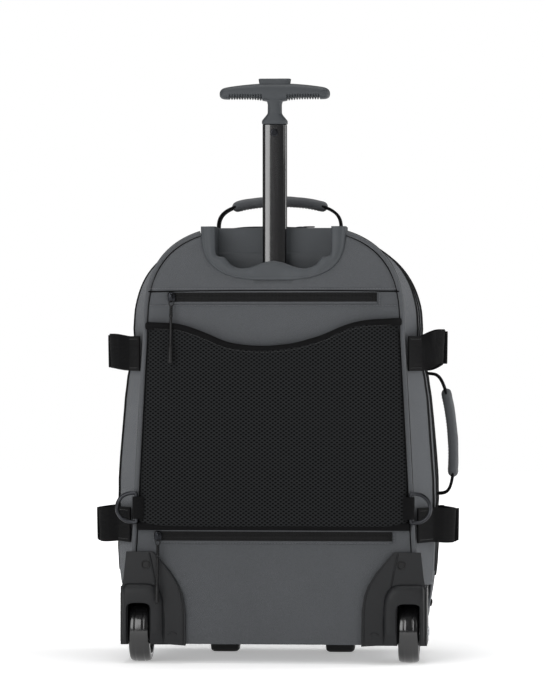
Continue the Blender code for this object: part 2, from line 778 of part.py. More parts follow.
def grip_outline():
    """(x, z) outline of the T: crowned bar with round ends, neck, flared collar."""
    end_x = GRIP_HALF - GRIP_END_RADIUS
    bar = bar_z()
    right = [(COLLAR_HALF, COLLAR_Z), (COLLAR_HALF, COLLAR_Z + 0.0028)]
    right += [(NECK_HALF + 0.0018, COLLAR_Z + 0.0105), (NECK_HALF, COLLAR_Z + 0.015)]
    right += [(NECK_HALF, bar - 0.0105), (NECK_HALF + 0.0035, bar - GRIP_END_RADIUS)]
    for step in range(5):
        angle = math.radians(-90 + 40 * step)
        right.append((end_x + GRIP_END_RADIUS * math.cos(angle), bar + GRIP_END_RADIUS * math.sin(angle)))
    top = COLLAR_Z + GRIP_CROWN
    rim = right[-1]
    for share in (0.66, 0.33):
        x = rim[0] * share
        right.append((x, rim[1] + (top - rim[1]) * (1 - share**2)))
    return mirrored(right + [(0.0, top)])


def button_floor_z():
    return COLLAR_Z + GRIP_CROWN - BUTTON_BODY - SPRING_HEIGHT


def add_grip(upper):
    """The handle, with a spigot inside the upper tube, the button's pocket and the rod's bore."""
    shape = prism(grip_outline(), "Y", TUBE_Y - GRIP_DEPTH / 2, TUBE_Y + GRIP_DEPTH / 2)
    bmesh.ops.recalc_face_normals(shape, faces=shape.faces)
    caps = [f for f in shape.faces if abs(f.normal.y) > 0.9]
    rims = [e for e in shape.edges if any(f in caps for f in e.link_faces)]
    bmesh.ops.bevel(shape, geom=rims, offset=0.0035, segments=2, profile=0.5, affect="EDGES")
    grip = piece("grip", shape, "grip_plastic", upper)
    spigot = prism(tube_ring(0, TUBE_WALL + GAP), "Z", COLLAR_Z - SPIGOT_LENGTH, COLLAR_Z + 0.002)
    boolean(grip, tool("grip_spigot", spigot), "UNION")
    pocket = rounded(BUTTON_HALF + GAP, BUTTON_DEPTH / 2 + GAP, 0.004, (0, TUBE_Y))
    top = COLLAR_Z + GRIP_CROWN + 0.01
    boolean(grip, tool("button_pocket", prism(pocket, "Z", button_floor_z(), top)))
    bore = rod(ROD_RADIUS + GAP, (0, TUBE_Y, 0), "Z", COLLAR_Z - SPIGOT_LENGTH - 0.01, top)
    boolean(grip, tool("grip_bore", bore))
    hole = rod(0.0018, (0, 0, screw_z()), "Y", TUBE_Y - UPPER_DEPTH, TUBE_Y - 0.0038)
    boolean(grip, tool("grip_screw_hole", hole))


def screw_z():
    return COLLAR_Z - 0.0097


def add_grip_screw(upper):
    """The screw that holds the grip's spigot in the upper tube."""
    face = TUBE_Y - UPPER_DEPTH / 2 - GAP
    profile = [(0.0015, TUBE_Y - 0.0045), (0.0015, face), (SCREW_HEAD, face)]
    profile += [(SCREW_HEAD, face - 0.0005), (SCREW_HEAD - 0.0009, face - 0.0011)]
    shape = turned(profile, (0, 0, screw_z()), "Y", 16, solid=True)
    recess = prism(rounded(0.0015, 0.0015, 0.0005, (0, screw_z()), 1), "Y", face - 0.003, face - 0.0004)
    screw = piece("grip_screw", shape, "steel", upper)
    boolean(screw, tool("screw_recess", recess))


def add_button(button):
    """The release button in the crown of the grip, and the rod it pushes."""
    floor = button_floor_z()
    low = floor + SPRING_HEIGHT
    high = COLLAR_Z + GRIP_CROWN + BUTTON_PROUD
    path = rounded(BUTTON_HALF, BUTTON_DEPTH / 2, 0.0037, (0, TUBE_Y))
    small = rounded(BUTTON_HALF - 0.0012, BUTTON_DEPTH / 2 - 0.0012, 0.0025, (0, TUBE_Y))
    levels = [(path, low), (path, high - 0.0012), (small, high)]
    shape = skin([[(x, y, z) for x, y in ring] for ring, z in levels])
    piece("release_button", shape, "grip_plastic", button)
    shaft = rod(ROD_RADIUS, (0, TUBE_Y, 0), "Z", pin_z() + PIN_RADIUS + GAP + BUTTON_TRAVEL + 0.001, low - GAP)
    piece("push_rod", shaft, "steel", button)


def add_button_spring(upper):
    """A coil around the rod, between the pocket's floor and the button."""
    turns, per_turn, wire, radius = 3, 12, 0.0004, 0.0045
    low = button_floor_z() + GAP + wire
    rise = SPRING_HEIGHT - 2 * (GAP + wire)
    rings = []
    for i in range(turns * per_turn + 1):
        angle = 2 * math.pi * i / per_turn
        radial = Vector((math.cos(angle), math.sin(angle), 0))
        centre = Vector((0, TUBE_Y, low + rise * i / (turns * per_turn))) + radial * radius
        ring = []
        for side in range(6):
            turn = 2 * math.pi * side / 6
            ring.append(centre + radial * wire * math.cos(turn) + Vector((0, 0, wire * math.sin(turn))))
        rings.append(ring)
    piece("button_spring", skin(rings), "steel", upper)


# ---------------------------------------------------------------- tray


def bowl_outline(half, low, top):
    """(x, z) outline that is flat above and a deep rounded bowl below."""
    right = []
    for step in range(9):
        angle = math.pi / 2 * (1 - step / 8)
        x = half * max(math.cos(angle), 0.0) ** (2 / 3)
        z = TOP_Z - (TOP_Z - low) * math.sin(angle) ** (2 / 3)
        right.append((x if step else 0.0, z))
    right.append((half, top))
    return mirrored(right)


def tray_outline(grow=0.0):
    return bowl_outline(TRAY_HALF + grow, TRAY_LOW_Z - grow, TOP_Z + grow)


def add_handle_tray(case):
    """The moulded tray that the T-handle stows in, open above and, over its waved lip, to the rear."""
    tray = piece("handle_tray", prism(tray_outline(), "Y", TRAY_REAR_Y, TRAY_FRONT_Y), "tray_plastic", case)
    recess = bowl_outline(RECESS_HALF, TRAY_FLOOR_Z, TOP_Z + 0.02)
    hollow = prism(recess, "Y", TRAY_REAR_Y + TRAY_LIP, TRAY_FRONT_Y - TRAY_WALL)
    boolean(tray, tool("tray_hollow", hollow))
    lip = []
    for step in range(17):
        x = RECESS_HALF * (1 - step / 8)
        wave = LIP_WAVE * math.cos(2 * math.pi * x / RECESS_HALF)
        lip.append((x, LIP_MIDDLE_Z + wave))
    lip += [(-RECESS_HALF, TOP_Z + 0.02), (RECESS_HALF, TOP_Z + 0.02)]
    boolean(tray, tool("lip_cut", prism(lip, "Y", TRAY_REAR_Y - 0.01, TRAY_REAR_Y + TRAY_LIP + 0.001)))
    width, depth = tube_size(1)
    hole = rounded(width / 2 + 0.004 + GAP, depth / 2 + 0.004 + GAP, TUBE_CORNER, (0, TUBE_Y))
    boolean(tray, tool("bush_hole", prism(hole, "Z", TRAY_LOW_Z - 0.01, TRAY_FLOOR_Z + 0.003)))


# ---------------------------------------------------------------- back panel fittings


def mesh_top(x):
    """Height of the mesh pocket's bound edge: low in the middle, rising to both sides."""
    share = min(max((abs(x) - 0.018) / 0.085, 0), 1)
    return MESH_DIP_Z + (MESH_TOP_Z - MESH_DIP_Z) * share * share * (3 - 2 * share)


def mesh_outline(inset):
    """(x, z) outline of the mesh pocket, with its wavy top."""
    low = MESH_LOW_Z + inset
    half = back_half(low) - MESH_SIDE_MARGIN - inset
    right = [(half, low)]
    top_half = back_half(MESH_TOP_Z) - MESH_SIDE_MARGIN - inset
    for step in range(9):
        x = top_half * (1 - step / 8)
        right.append((x, mesh_top(x) - inset))
    return mirrored(right)


def add_mesh_pocket(case):
    """The padded mesh pocket over the lower back, open along its top edge."""
    rings = []
    for inset, y in ((0.0, -GAP), (0.0, -MESH_EDGE), (0.012, -MESH_PROUD + 0.002), (0.030, -MESH_PROUD)):
        rings.append([(x, y, z) for x, z in mesh_outline(inset)])
    pocket = piece("mesh_pocket", skin(rings), "spacer_mesh", case)
    half = back_half(MESH_TOP_Z) - MESH_SIDE_MARGIN - 0.035
    hollow = block((-half, half), (-MESH_PROUD + 0.003, -GAP - 0.0015), (MESH_LOW_Z + 0.025, MESH_TOP_Z + 0.01))
    boolean(pocket, tool("pocket_hollow", hollow))


def add_zip(case, name, size):
    half, middle, width = size
    path = rounded(half, width / 2, 0.002, (0, middle), steps=1)
    piece(f"{name}_zip", prism(path, "Y", -GAP - ZIP_THICK, -GAP), "black_webbing", case)


def add_slider(case, name, x, size):
    """A zip slider with its hanging pull, which swings out from the panel."""
    face = -2 * GAP - ZIP_THICK
    middle = size[1]
    at = (x, face, middle)
    body = rounded(0.0045, 0.0055, 0.002, (x, middle), steps=2)
    slider = piece(f"{name}_slider", prism(body, "Y", face - 0.0035, face), "gunmetal", case, at=at)
    hinge = (x, face - 0.0065, middle - 0.004)
    profile = [(0.0006, 0.0), (0.0014, 0.001), (0.0014, 0.012), (0.0019, 0.013), (0.0019, 0.044), (0.0027, 0.046)]
    profile += [(0.0027, PULL_LENGTH - 0.002), (0.0016, PULL_LENGTH)]
    shape = turned([(r, -d) for r, d in profile], (0, 0, 0), "Z", 8, solid=True)
    bmesh.ops.rotate(shape, verts=shape.verts, matrix=Matrix.Rotation(-PULL_TILT, 3, "X"))
    bmesh.ops.translate(shape, verts=shape.verts, vec=hinge)
    piece(f"{name}_pull", shape, "black_webbing", slider, at=hinge)


def add_door_slider(case):
    """The long zip's slider with its flat pull, parked on the flat of the top beside the seam."""
    low = TOP_Z + GAP + 0.0002
    y = DOOR_REAR_Y - 0.008
    path = rounded(0.013, 0.004, 0.002, (0.027, y), steps=2)
    piece("door_slider", prism(path, "Z", low, low + 0.0045), "gunmetal", case, at=(0.027, y, low))


# ---------------------------------------------------------------- straps, buckles, rings


def strap_half(y, z):
    """Half the bag's width where a strap at a height is furthest out, over the strap's own width."""
    return max(flare_half(y, z - STRAP_WIDTH / 2), flare_half(y, z + STRAP_WIDTH / 2))


def strap_path(z, reach):
    """(x, y) line of a compression strap: along the flare, out in a loose loop, back to the buckle."""
    stand = GAP + STRAP_THICK / 2 + 0.0006
    points = []
    for y in (0.003, 0.012, 0.022, 0.032):
        lean = math.cos(math.pi / 2 * y / FLARE_DEPTH)
        points.append((strap_half(y, z) + stand + 0.0012 * lean, y - 0.0008 * lean))
    start, loop = points[-1], strap_half(FLARE_DEPTH, z) + stand
    for step in range(1, 8):
        share = step / 8
        bulge = math.sin(math.pi * share) ** 0.8
        base = start[0] + (loop - start[0]) * share
        points.append((base + (reach - STRAP_THICK / 2 - base) * bulge, start[1] + 0.044 * share))
    points.append((loop, BUCKLE_REAR_Y - 0.005))
    points.append((loop, BUCKLE_REAR_Y - GAP))
    return points


def add_strap(case, place, name, side, size):
    """A webbing strap sewn into the piping, and the buckle's socket and plug on the side of the bag."""
    z, reach = size
    path = [(side * x, y, z) for x, y in strap_path(z, reach)]
    shape = swept(path, (0, 0, 1), lambda share: slab_section(STRAP_WIDTH, STRAP_THICK))
    piece(f"strap_{place}_{name}", shape, "black_webbing", case)
    inner = strap_half(FLARE_DEPTH, z) + GAP + 0.0004
    outer = inner + BUCKLE_THICK
    half = STRAP_WIDTH / 2 - 0.001
    front = BUCKLE_REAR_Y + BUCKLE_LENGTH
    middle = (side * (inner + outer) / 2, z)
    socket_path = rounded(BUCKLE_THICK / 2, half, 0.002, middle, steps=1)
    socket = piece(f"buckle_{place}_{name}", prism(socket_path, "Y", BUCKLE_REAR_Y, front), "dark_plastic", case)
    mouth = rounded(BUCKLE_THICK / 2 - 0.002, half - 0.004, 0.0005, middle, steps=1)
    boolean(socket, tool(f"mouth_{place}_{name}", prism(mouth, "Y", BUCKLE_REAR_Y + 0.003, front + 0.01)))
    at = (middle[0], front + GAP, z)
    plug_path = rounded(BUCKLE_THICK / 2, half, 0.002, middle, steps=1)
    plug = piece(f"plug_{place}_{name}", prism(plug_path, "Y", front + GAP, front + PLUG_BODY), "dark_plastic", case, at=at)
    tongue = rounded(BUCKLE_THICK / 2 - 0.002 - GAP, half - 0.004 - GAP, 0.0005, middle, steps=1)
    boolean(plug, tool(f"tongue_{place}_{name}", prism(tongue, "Y", BUCKLE_REAR_Y + 0.0045, front + 0.004)), "UNION")


def ring_path(x, y, side):
    """A D in the plane y: a straight bar at x and a round bow on its outer side."""
    points = []
    for step in range(4):
        points.append((x, y, RING_Z - RING_HALF + RING_HALF * 2 * step / 3))
    for step in range(1, 10):
        angle = math.pi * step / 10
        reach = RING_REACH * math.sin(angle) ** 0.75
        points.append((x + side * reach, y, RING_Z + RING_HALF * math.cos(angle)))
    return points


def add_ring(case, name, side):
    """A wire D-ring whose straight bar turns in a webbing tab on the piping."""
    x, y = side * RING_BAR_X, -0.0062
    wire = [(RING_WIRE * math.cos(a * math.pi / 3), RING_WIRE * math.sin(a * math.pi / 3)) for a in range(6)]
    shape = swept(ring_path(x, y, side), (0, 1, 0), lambda share: wire, closed=True)
    piece(f"d_ring_{name}", shape, "gunmetal", case, at=(x, y, RING_Z))
    path = rounded(TAB_WRAP, TAB_WRAP - 0.0003, 0.002, (x, y + 0.0005), steps=2)
    tab = piece(f"ring_tab_{name}", prism(path, "Z", RING_Z - TAB_HALF, RING_Z + TAB_HALF), "black_webbing", case)
    bore = rod(RING_WIRE + GAP, (x, y, 0), "Z", RING_Z - TAB_HALF - 0.01, RING_Z + TAB_HALF + 0.01)
    boolean(tab, tool(f"ring_bore_{name}", bore))


# ---------------------------------------------------------------- carry handles


def handle_section(width, thickness):
    """Section for swept(): full in the middle of a handle and narrow at its two feet."""

    def section(share):
        fullness = min(1.0, 0.28 + 2.6 * min(share, 1 - share))
        return slab_section(width * fullness, thickness * min(1.0, 0.6 + fullness * 0.4))

    return section


def add_top_handle(case):
    """The carry handle: an arch over the top that leans to the front and the rear."""
    foot_z = top_z(TOP_HANDLE_HALF) + 0.004
    path = []
    for step in range(13):
        angle = math.pi * step / 12
        x = TOP_HANDLE_HALF * math.cos(angle)
        path.append((x, TOP_HANDLE_Y, foot_z + (TOP_HANDLE_RISE - 0.004) * math.sin(angle) ** 0.55))
    shape = swept(path, (0, 1, 0), handle_section(0.028, 0.009))
    piece("top_handle", shape, "grey_fabric", case, at=(0, TOP_HANDLE_Y, foot_z))


def side_handle_axis():
    """The two ends of the line that the side handle leans about."""
    ends = []
    for z in SIDE_HANDLE_Z:
        ends.append(Vector((side_half(z) + 0.005, SIDE_HANDLE_Y, z)))
    return ends


def add_side_handle(case):
    """The padded handle on the right side, standing off far enough for fingers."""
    low, high = side_handle_axis()
    path = []
    for step in range(11):
        share = step / 10
        rise = (SIDE_HANDLE_RISE - 0.006) * math.sin(math.pi * share) ** 0.5
        point = low.lerp(high, share)
        path.append(point + Vector((rise, 0, 0)))
    shape = swept(path, (0, 1, 0), handle_section(0.026, 0.012))
    piece("side_handle", shape, "grey_fabric", case, at=(low + high) / 2)


# ---------------------------------------------------------------- assembly


def centre_on_floor(case):
    """Move the case so that the floor under the middle of its whole box is the origin."""
    bpy.context.view_layer.update()
    graph = bpy.context.evaluated_depsgraph_get()
    points = []
    for thing in bpy.data.objects:
        if thing.type == "MESH" and not thing.hide_render:
            solved = thing.evaluated_get(graph)
            points += [solved.matrix_world @ v.co for v in solved.data.vertices]
    for axis in (0, 1):
        low = min(p[axis] for p in points)
        high = max(p[axis] for p in points)
        case.location[axis] -= (low + high) / 2
    bpy.context.view_layer.update()


def main():
    clear_scene()
    case = pivot_empty("case", (0, 0, 0))
    add_spaces()
    add_bag(case)
    add_back_panel(case)
    add_frame_sheet(case)
    add_laptop_sleeve(case)
    add_base_board(case)
    add_shoulder_straps(case)
    add_front_foot(case)
    for name, side in SIDES:
        add_housing(case, name, side)
        add_wheel(case, name, side)
        add_axle(case, name, side)
        add_strap(case, "upper", name, side, UPPER_STRAP)
        add_strap(case, "lower", name, side, LOWER_STRAP)
        add_ring(case, name, side)
    add_handle_tray(case)
    add_outer_tube(case)
    add_guide_bush(case)
    middle = pivot_empty("middle_stage", (0, TUBE_Y, middle_low_z()), case)
    add_middle_stage(middle)
    upper = pivot_empty("upper_stage", (0, TUBE_Y, upper_low_z()), middle)
    add_upper_tube(upper)
    add_upper_lock(upper)
    add_lock_pin(upper)
    add_grip(upper)
    add_grip_screw(upper)
    add_button_spring(upper)
    add_button(pivot_empty("button_stage", (0, TUBE_Y, button_floor_z()), upper))
    add_mesh_pocket(case)
    add_zip(case, "upper", UPPER_ZIP)
    add_zip(case, "lower", LOWER_ZIP)
    add_slider(case, "upper", -PULL_X[0], UPPER_ZIP)
    add_slider(case, "lower", -PULL_X[1], LOWER_ZIP)
    add_door_slider(case)
    add_top_handle(case)
    add_side_handle(case)
    centre_on_floor(case)


main()
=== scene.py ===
"""Looks of a wheeled laptop case with a telescopic T-handle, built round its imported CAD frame.

Shapes are in metres and in the case's own place: x from the middle plane, y from the rear face of the back panel
towards the front, z from the floor. cloth_mesh() moves them to the frame, whose middle is the whole case's.
"""

import math

import bmesh
import bpy
import numpy as np
from bpy.props import FloatProperty, FloatVectorProperty, PointerProperty
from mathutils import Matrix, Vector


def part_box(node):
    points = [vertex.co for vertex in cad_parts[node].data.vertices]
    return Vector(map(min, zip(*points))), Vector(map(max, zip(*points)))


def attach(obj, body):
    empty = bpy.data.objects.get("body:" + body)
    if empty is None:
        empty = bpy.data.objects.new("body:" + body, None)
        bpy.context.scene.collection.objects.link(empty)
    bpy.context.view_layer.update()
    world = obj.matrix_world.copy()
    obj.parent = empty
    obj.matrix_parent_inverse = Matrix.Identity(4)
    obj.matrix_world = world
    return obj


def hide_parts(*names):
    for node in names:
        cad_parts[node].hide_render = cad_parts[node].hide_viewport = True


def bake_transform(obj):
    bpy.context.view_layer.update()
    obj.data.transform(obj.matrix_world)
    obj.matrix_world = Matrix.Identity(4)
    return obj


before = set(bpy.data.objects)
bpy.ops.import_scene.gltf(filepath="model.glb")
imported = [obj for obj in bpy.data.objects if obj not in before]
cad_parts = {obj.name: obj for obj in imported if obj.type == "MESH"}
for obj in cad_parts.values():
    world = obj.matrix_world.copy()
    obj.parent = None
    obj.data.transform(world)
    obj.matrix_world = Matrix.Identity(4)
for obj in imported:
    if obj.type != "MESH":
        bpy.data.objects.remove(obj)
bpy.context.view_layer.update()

bl_info = {
    "name": "Wheeled laptop case",
    "version": (1, 0, 0),
    "blender": (4, 5, 0),
    "location": "3D view > Sidebar > Laptop case",
    "description": "Soft goods, plastics, metals and studio of a wheeled laptop case",
    "category": "Object",
}

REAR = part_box("back_panel")[0].y

# Bag
BASE_Z = 0.022
SHOULDER_Z = 0.372
TOP_Z = 0.499
BAG_DEPTH = 0.200
FLARE_DEPTH = 0.060
FRONT_ROUND = 0.026
CORNER = 0.030
CORNER_Z = BASE_Z + CORNER
DOOR_Y = 0.1403
DOOR_Z = 0.0603
WALL = 0.003
NOTCH_X = 0.100
NECK_X = 0.1115
NOTCH_Z = 0.0883
NOTCH_Y = 0.0703
TRAY_SEAT_X = 0.0833
TRAY_SEAT_Y = 0.0388
STRAP_ROWS = (0.354, 0.158)
SIDES = (("left", -1), ("right", 1))


# ---------------------------------------------------------------- sizes and colours


def rgb(*channels):
    """Display colour 0 to 255 as the linear values that shaders take."""
    share = np.array(channels) / 255
    return tuple(np.where(share <= 0.04045, share / 12.92, ((share + 0.055) / 1.055) ** 2.4).tolist())


def length(name, description, default):
    return FloatProperty(name=name, description=description, default=default, unit="LENGTH", precision=5)


def colour(name, description, *channels):
    default = rgb(*channels)
    return FloatVectorProperty(name=name, description=description, default=default, subtype="COLOR", size=3)


class CaseSizes(bpy.types.PropertyGroup):
    """Sizes that give the soft goods and fittings their look."""

    weave: length("Weave pitch", "Distance from thread to thread of the body fabric", 0.0011)
    sag: length("Sag", "How far the side fabric sinks between its seams", 0.0022)
    piping: length("Piping radius", "Radius of the corded edge round the rear panel", 0.0026)
    pocket_fill: length("Pocket height", "How far the padded mesh pocket stands off the panel", 0.0112)
    mesh_across: length("Mesh hole pitch", "Distance from hole to hole across the spacer mesh", 0.0061)
    mesh_up: length("Mesh row pitch", "Distance from row to row of the spacer mesh", 0.00218)
    rib: length("Webbing rib", "Distance from rib to rib of the webbing", 0.0015)
    stitch: length("Stitch pitch", "Distance from stitch to stitch", 0.0034)
    ring_wire: length("Ring wire", "Radius of the wire of the two rings", 0.0022)
    grip_rib: length("Grip rib pitch", "Distance from rib to rib under the T-handle", 0.0030)
    front_pocket: length("Front pocket height", "How far the front pockets stand off the door", 0.0075)


class CaseColours(bpy.types.PropertyGroup):
    """Colours of the case's finishes."""

    body: colour("Body fabric", "Heather grey of the rear panel", 76, 78, 81)
    sides: colour("Side fabric", "Lighter grey of the gussets", 77, 80, 84)
    mesh: colour("Spacer mesh", "Black of the padded mesh", 35, 36, 37)
    webbing: colour("Webbing", "Black of straps, tapes and bindings", 11, 11, 12)
    housing: colour("Wheel housings", "Charcoal of the moulded corner guards", 20, 21, 23)
    tray: colour("Handle tray", "Grey of the moulded tray", 61, 64, 67)
    grip: colour("T-handle", "Grey of the grip", 56, 59, 62)
    tube: colour("Tubes", "Black of the anodised trolley tubes", 10, 10, 12)
    ring: colour("Rings", "Gunmetal of rings and sliders", 58, 59, 62)
    tyre: colour("Tyres", "Black of the cast tyres", 14, 14, 15)


# ---------------------------------------------------------------- shader expressions


class Amount:
    """A shader value that takes part in ordinary sums, each of which adds a Math node."""

    def __init__(self, finish, socket):
        self.finish = finish
        self.socket = socket

    def __add__(self, other):
        return self.finish.maths("ADD", self, other)

    __radd__ = __add__

    def __mul__(self, other):
        return self.finish.maths("MULTIPLY", self, other)

    __rmul__ = __mul__

    def __sub__(self, other):
        return self.finish.maths("SUBTRACT", self, other)

    def __rsub__(self, other):
        return self.finish.maths("SUBTRACT", other, self)

    def __truediv__(self, other):
        return self.finish.maths("DIVIDE", self, other)

    def __pow__(self, other):
        return self.finish.maths("POWER", self, other)


class Finish:
    """One material, with its nodes, whose Principled shader takes the finished values."""

    def __init__(self, name, **uniform):
        self.material = bpy.data.materials.new(f"case_{name}")
        self.material.use_nodes = True
        self.tree = self.material.node_tree
        self.shader = self.tree.nodes["Principled BSDF"]
        for socket, value in uniform.items():
            self.shader.inputs[socket.replace("_", " ")].default_value = value

    def node(self, kind, settings=None, inputs=None, output=0):
        """Any node: its settings first, then values or links for its sockets. Returns one output."""
        made = self.tree.nodes.new(kind)
        for key, value in (settings or {}).items():
            setattr(made, key, value)
        for key, value in (inputs or {}).items():
            self.feed(made.inputs[key], value)
        return Amount(self, made.outputs[output])

    def feed(self, socket, value):
        if isinstance(value, Amount):
            self.tree.links.new(value.socket, socket)
        elif socket.type == "RGBA" and len(value) == 3:
            socket.default_value = (*value, 1.0)
        else:
            socket.default_value = value

    def maths(self, operation, first, second=0.0):
        return self.node("ShaderNodeMath", {"operation": operation}, {0: first, 1: second})

    def object_place(self, stretch=(1, 1, 1)):
        coords = self.node("ShaderNodeTexCoord", output="Object")
        return self.node("ShaderNodeMapping", inputs={"Vector": coords, "Scale": stretch})

    def across_along(self):
        """The two directions of the piece's own map, in metres."""
        coords = self.node("ShaderNodeTexCoord", output="UV")
        split = self.node("ShaderNodeSeparateXYZ", inputs={0: coords})
        return split, Amount(self, split.socket.node.outputs[1])

    def noise(self, scale, detail=3.0, stretch=(1, 1, 1)):
        inputs = {"Vector": self.object_place(stretch), "Scale": scale, "Detail": detail}
        return self.node("ShaderNodeTexNoise", inputs=inputs)

    def wave(self, value, pitch):
        """A cosine of a value, from 0 to 1, once every pitch."""
        return self.maths("COSINE", value * (2 * math.pi / pitch)) * 0.5 + 0.5

    def step(self, value, low, high):
        """0 below low, 1 above high, smooth in between."""
        settings = {"interpolation_type": "SMOOTHSTEP"}
        return self.node("ShaderNodeMapRange", settings, {0: value, 1: low, 2: high})

    def mix(self, share, first, second):
        """A colour between two colours."""
        return self.node("ShaderNodeMix", {"data_type": "RGBA"}, {0: share, 6: first, 7: second}, output=2)

    def finished(self, colour, roughness, height=None, depth=0.0004):
        self.feed(self.shader.inputs["Base Color"], colour)
        self.feed(self.shader.inputs["Roughness"], roughness)
        if height is not None:
            bump = self.node("ShaderNodeBump", inputs={"Height": height, "Distance": depth, "Strength": 1.0})
            self.feed(self.shader.inputs["Normal"], bump)
        return self.material


def shade(colour, factor):
    return tuple(min(1.0, c * factor) for c in colour)


def once(make):
    """Keep a finish after its first use, under its function's name, apart from the frame's own materials."""

    def kept():
        return bpy.data.materials.get(f"case_{make.__name__}") or make()

    return kept


def sizes():
    return bpy.context.scene.case_sizes


def colours():
    return bpy.context.scene.case_colours


def woven(name, base, contrast, roughness, sheen):
    """Plain weave: threads over and under each other in a chequer, melange threads, faint cloudy fading."""
    made = Finish(name, Sheen_Weight=sheen, Sheen_Roughness=0.5, Specular_IOR_Level=0.3)
    across, along = made.across_along()
    pitch = sizes().weave
    over = made.wave(across, pitch) * made.wave(along, pitch)
    under = (1 - made.wave(across, pitch)) * (1 - made.wave(along, pitch))
    cloth = over + under
    melange = made.noise(1500, 2, (1, 1, 0.35)) * 0.5 + made.noise(1300, 2, (0.35, 1, 1)) * 0.5
    cloud = made.noise(9, 3)
    tone = made.step(melange + (cloud - 0.5) * 0.45 + cloth * 0.1, 0.30, 0.74)
    base_colour = made.mix(tone, shade(base, 1 - contrast), shade(base, 1 + contrast))
    return made.finished(base_colour, roughness + cloud * 0.08, cloth + melange * 0.7, 0.00035)


@once
def body_fabric():
    return woven("body_fabric", colours().body, 0.11, 0.7, 0.12)


@once
def side_fabric():
    return woven("side_fabric", colours().sides, 0.10, 0.66, 0.14)


@once
def lining_fabric():
    return woven("lining_fabric", shade(colours().webbing, 1.6), 0.3, 0.85, 0.1)


@once
def spacer_mesh():
    """Rows of round holes, every other row moved by half a hole, in a knitted black net: a product of cosines."""
    made = Finish("spacer_mesh", Specular_IOR_Level=0.08)
    across, along = made.across_along()
    columns = made.maths("COSINE", across * (2 * math.pi / sizes().mesh_across))
    rows = made.maths("COSINE", along * (math.pi / sizes().mesh_up))
    hole = made.step(columns * rows, -0.05, 0.55)
    fuzz = made.noise(1400, 2)
    base = colours().mesh
    # painted shade: the holes are coloured near black, 3 % of the net's colour, for the shade inside them
    colour = made.mix(hole, made.mix(fuzz, shade(base, 0.75), shade(base, 1.15)), shade(base, 0.03))
    return made.finished(colour, 0.9 + hole * 0.05, 1 - hole, 0.0004)


@once
def webbing():
    """Woven ribbon: ribs along it and a finer cross thread."""
    made = Finish("webbing", Specular_IOR_Level=0.12)
    across, along = made.across_along()
    ribs = made.wave(across, sizes().rib)
    threads = made.wave(along + across * 0.6, sizes().rib * 0.55)
    fuzz = made.noise(900, 2)
    base = colours().webbing
    tone = ribs * 0.5 + threads * 0.3 + fuzz * 0.35
    colour = made.mix(tone, shade(base, 0.55), shade(base, 1.75))
    return made.finished(colour, 0.72 + fuzz * 0.1, ribs + threads * 0.5, 0.0005)


@once
def zip_tape():
    """Coil zip seen from its smooth side: a fine herringbone either side of a closed seam."""
    made = Finish("zip_tape", Specular_IOR_Level=0.2)
    across, along = made.across_along()
    teeth = made.wave(along, 0.0016)
    weave = made.wave(across * 0.8 + along, 0.0009)
    base = colours().webbing
    colour = made.mix(teeth * 0.6 + weave * 0.3, shade(base, 0.4), shade(base, 1.3))
    return made.finished(colour, 0.5 + weave * 0.15, teeth + weave * 0.4, 0.0003)


@once
def thread():
    """Sewing thread, twisted, a little lighter than the cloth."""
    made = Finish("thread", Sheen_Weight=0.2)
    across, along = made.across_along()
    twist = made.wave(along + across * 2, 0.0006)
    base = colours().body
    return made.finished(made.mix(twist, base, shade(base, 2.1)), 0.6, twist, 0.0001)


@once
def black_thread():
    made = Finish("black_thread", Sheen_Weight=0.2)
    across, along = made.across_along()
    twist = made.wave(along + across * 2, 0.0006)
    base = colours().webbing
    return made.finished(made.mix(twist, base, shade(base, 2.2)), 0.55, twist, 0.0001)


def moulded(name, base, roughness, grain, scuff=0.25):
    """Spark-eroded plastic: fine leathery grain, flow clouding, rubbed patches that shine a little."""
    made = Finish(name, Specular_IOR_Level=0.3)
    pores = made.noise(grain, 2)
    cloud = made.noise(14, 4)
    rubbed = made.step(made.noise(38, 5), 0.56, 0.74)
    colour = made.mix(cloud * 0.7 + pores * 0.3, shade(base, 0.86), shade(base, 1.16))
    worn = made.mix(rubbed * scuff, colour, shade(base, 1.5))
    return made.finished(worn, roughness + pores * 0.12 - rubbed * 0.08, pores, 0.00018)


@once
def housing_plastic():
    return moulded("housing_plastic", colours().housing, 0.42, 1500)


@once
def tray_plastic():
    return moulded("tray_plastic", colours().tray, 0.44, 1500)


@once
def grip_plastic():
    return moulded("grip_plastic", colours().grip, 0.46, 1300)


@once
def fitting_plastic():
    return moulded("fitting_plastic", colours().webbing, 0.36, 1200)


@once
def board_plastic():
    return moulded("board_plastic", shade(colours().housing, 0.9), 0.55, 800)


@once
def black_tube():
    """Anodised tube: drawn lines along it, long soft rubbed streaks from sliding."""
    made = Finish("black_tube", Specular_IOR_Level=0.7, Coat_Weight=1.0, Coat_Roughness=0.05)
    drawn = made.noise(900, 2, (1, 1, 0.02))
    streak = made.step(made.noise(60, 3, (1, 1, 0.05)), 0.5, 0.8)
    base = colours().tube
    colour = made.mix(streak * 0.25 + drawn * 0.15, shade(base, 0.6), shade(base, 2.0))
    return made.finished(colour, 0.12 + drawn * 0.06 + streak * 0.05, drawn, 0.00001)


def turned_metal(name, base, roughness):
    made = Finish(name, Metallic=1.0)
    grain = made.noise(1100, 3)
    wear = made.step(made.noise(120, 4), 0.5, 0.75)
    colour = made.mix(wear, shade(base, 0.8), shade(base, 1.35))
    return made.finished(colour, roughness + grain * 0.12 + wear * 0.08, grain, 0.00005)


@once
def gunmetal():
    return turned_metal("gunmetal", colours().ring, 0.24)


@once
def steel():
    return turned_metal("steel", rgb(178, 180, 184), 0.22)


@once
def black_metal():
    return turned_metal("black_metal", rgb(44, 45, 48), 0.2)


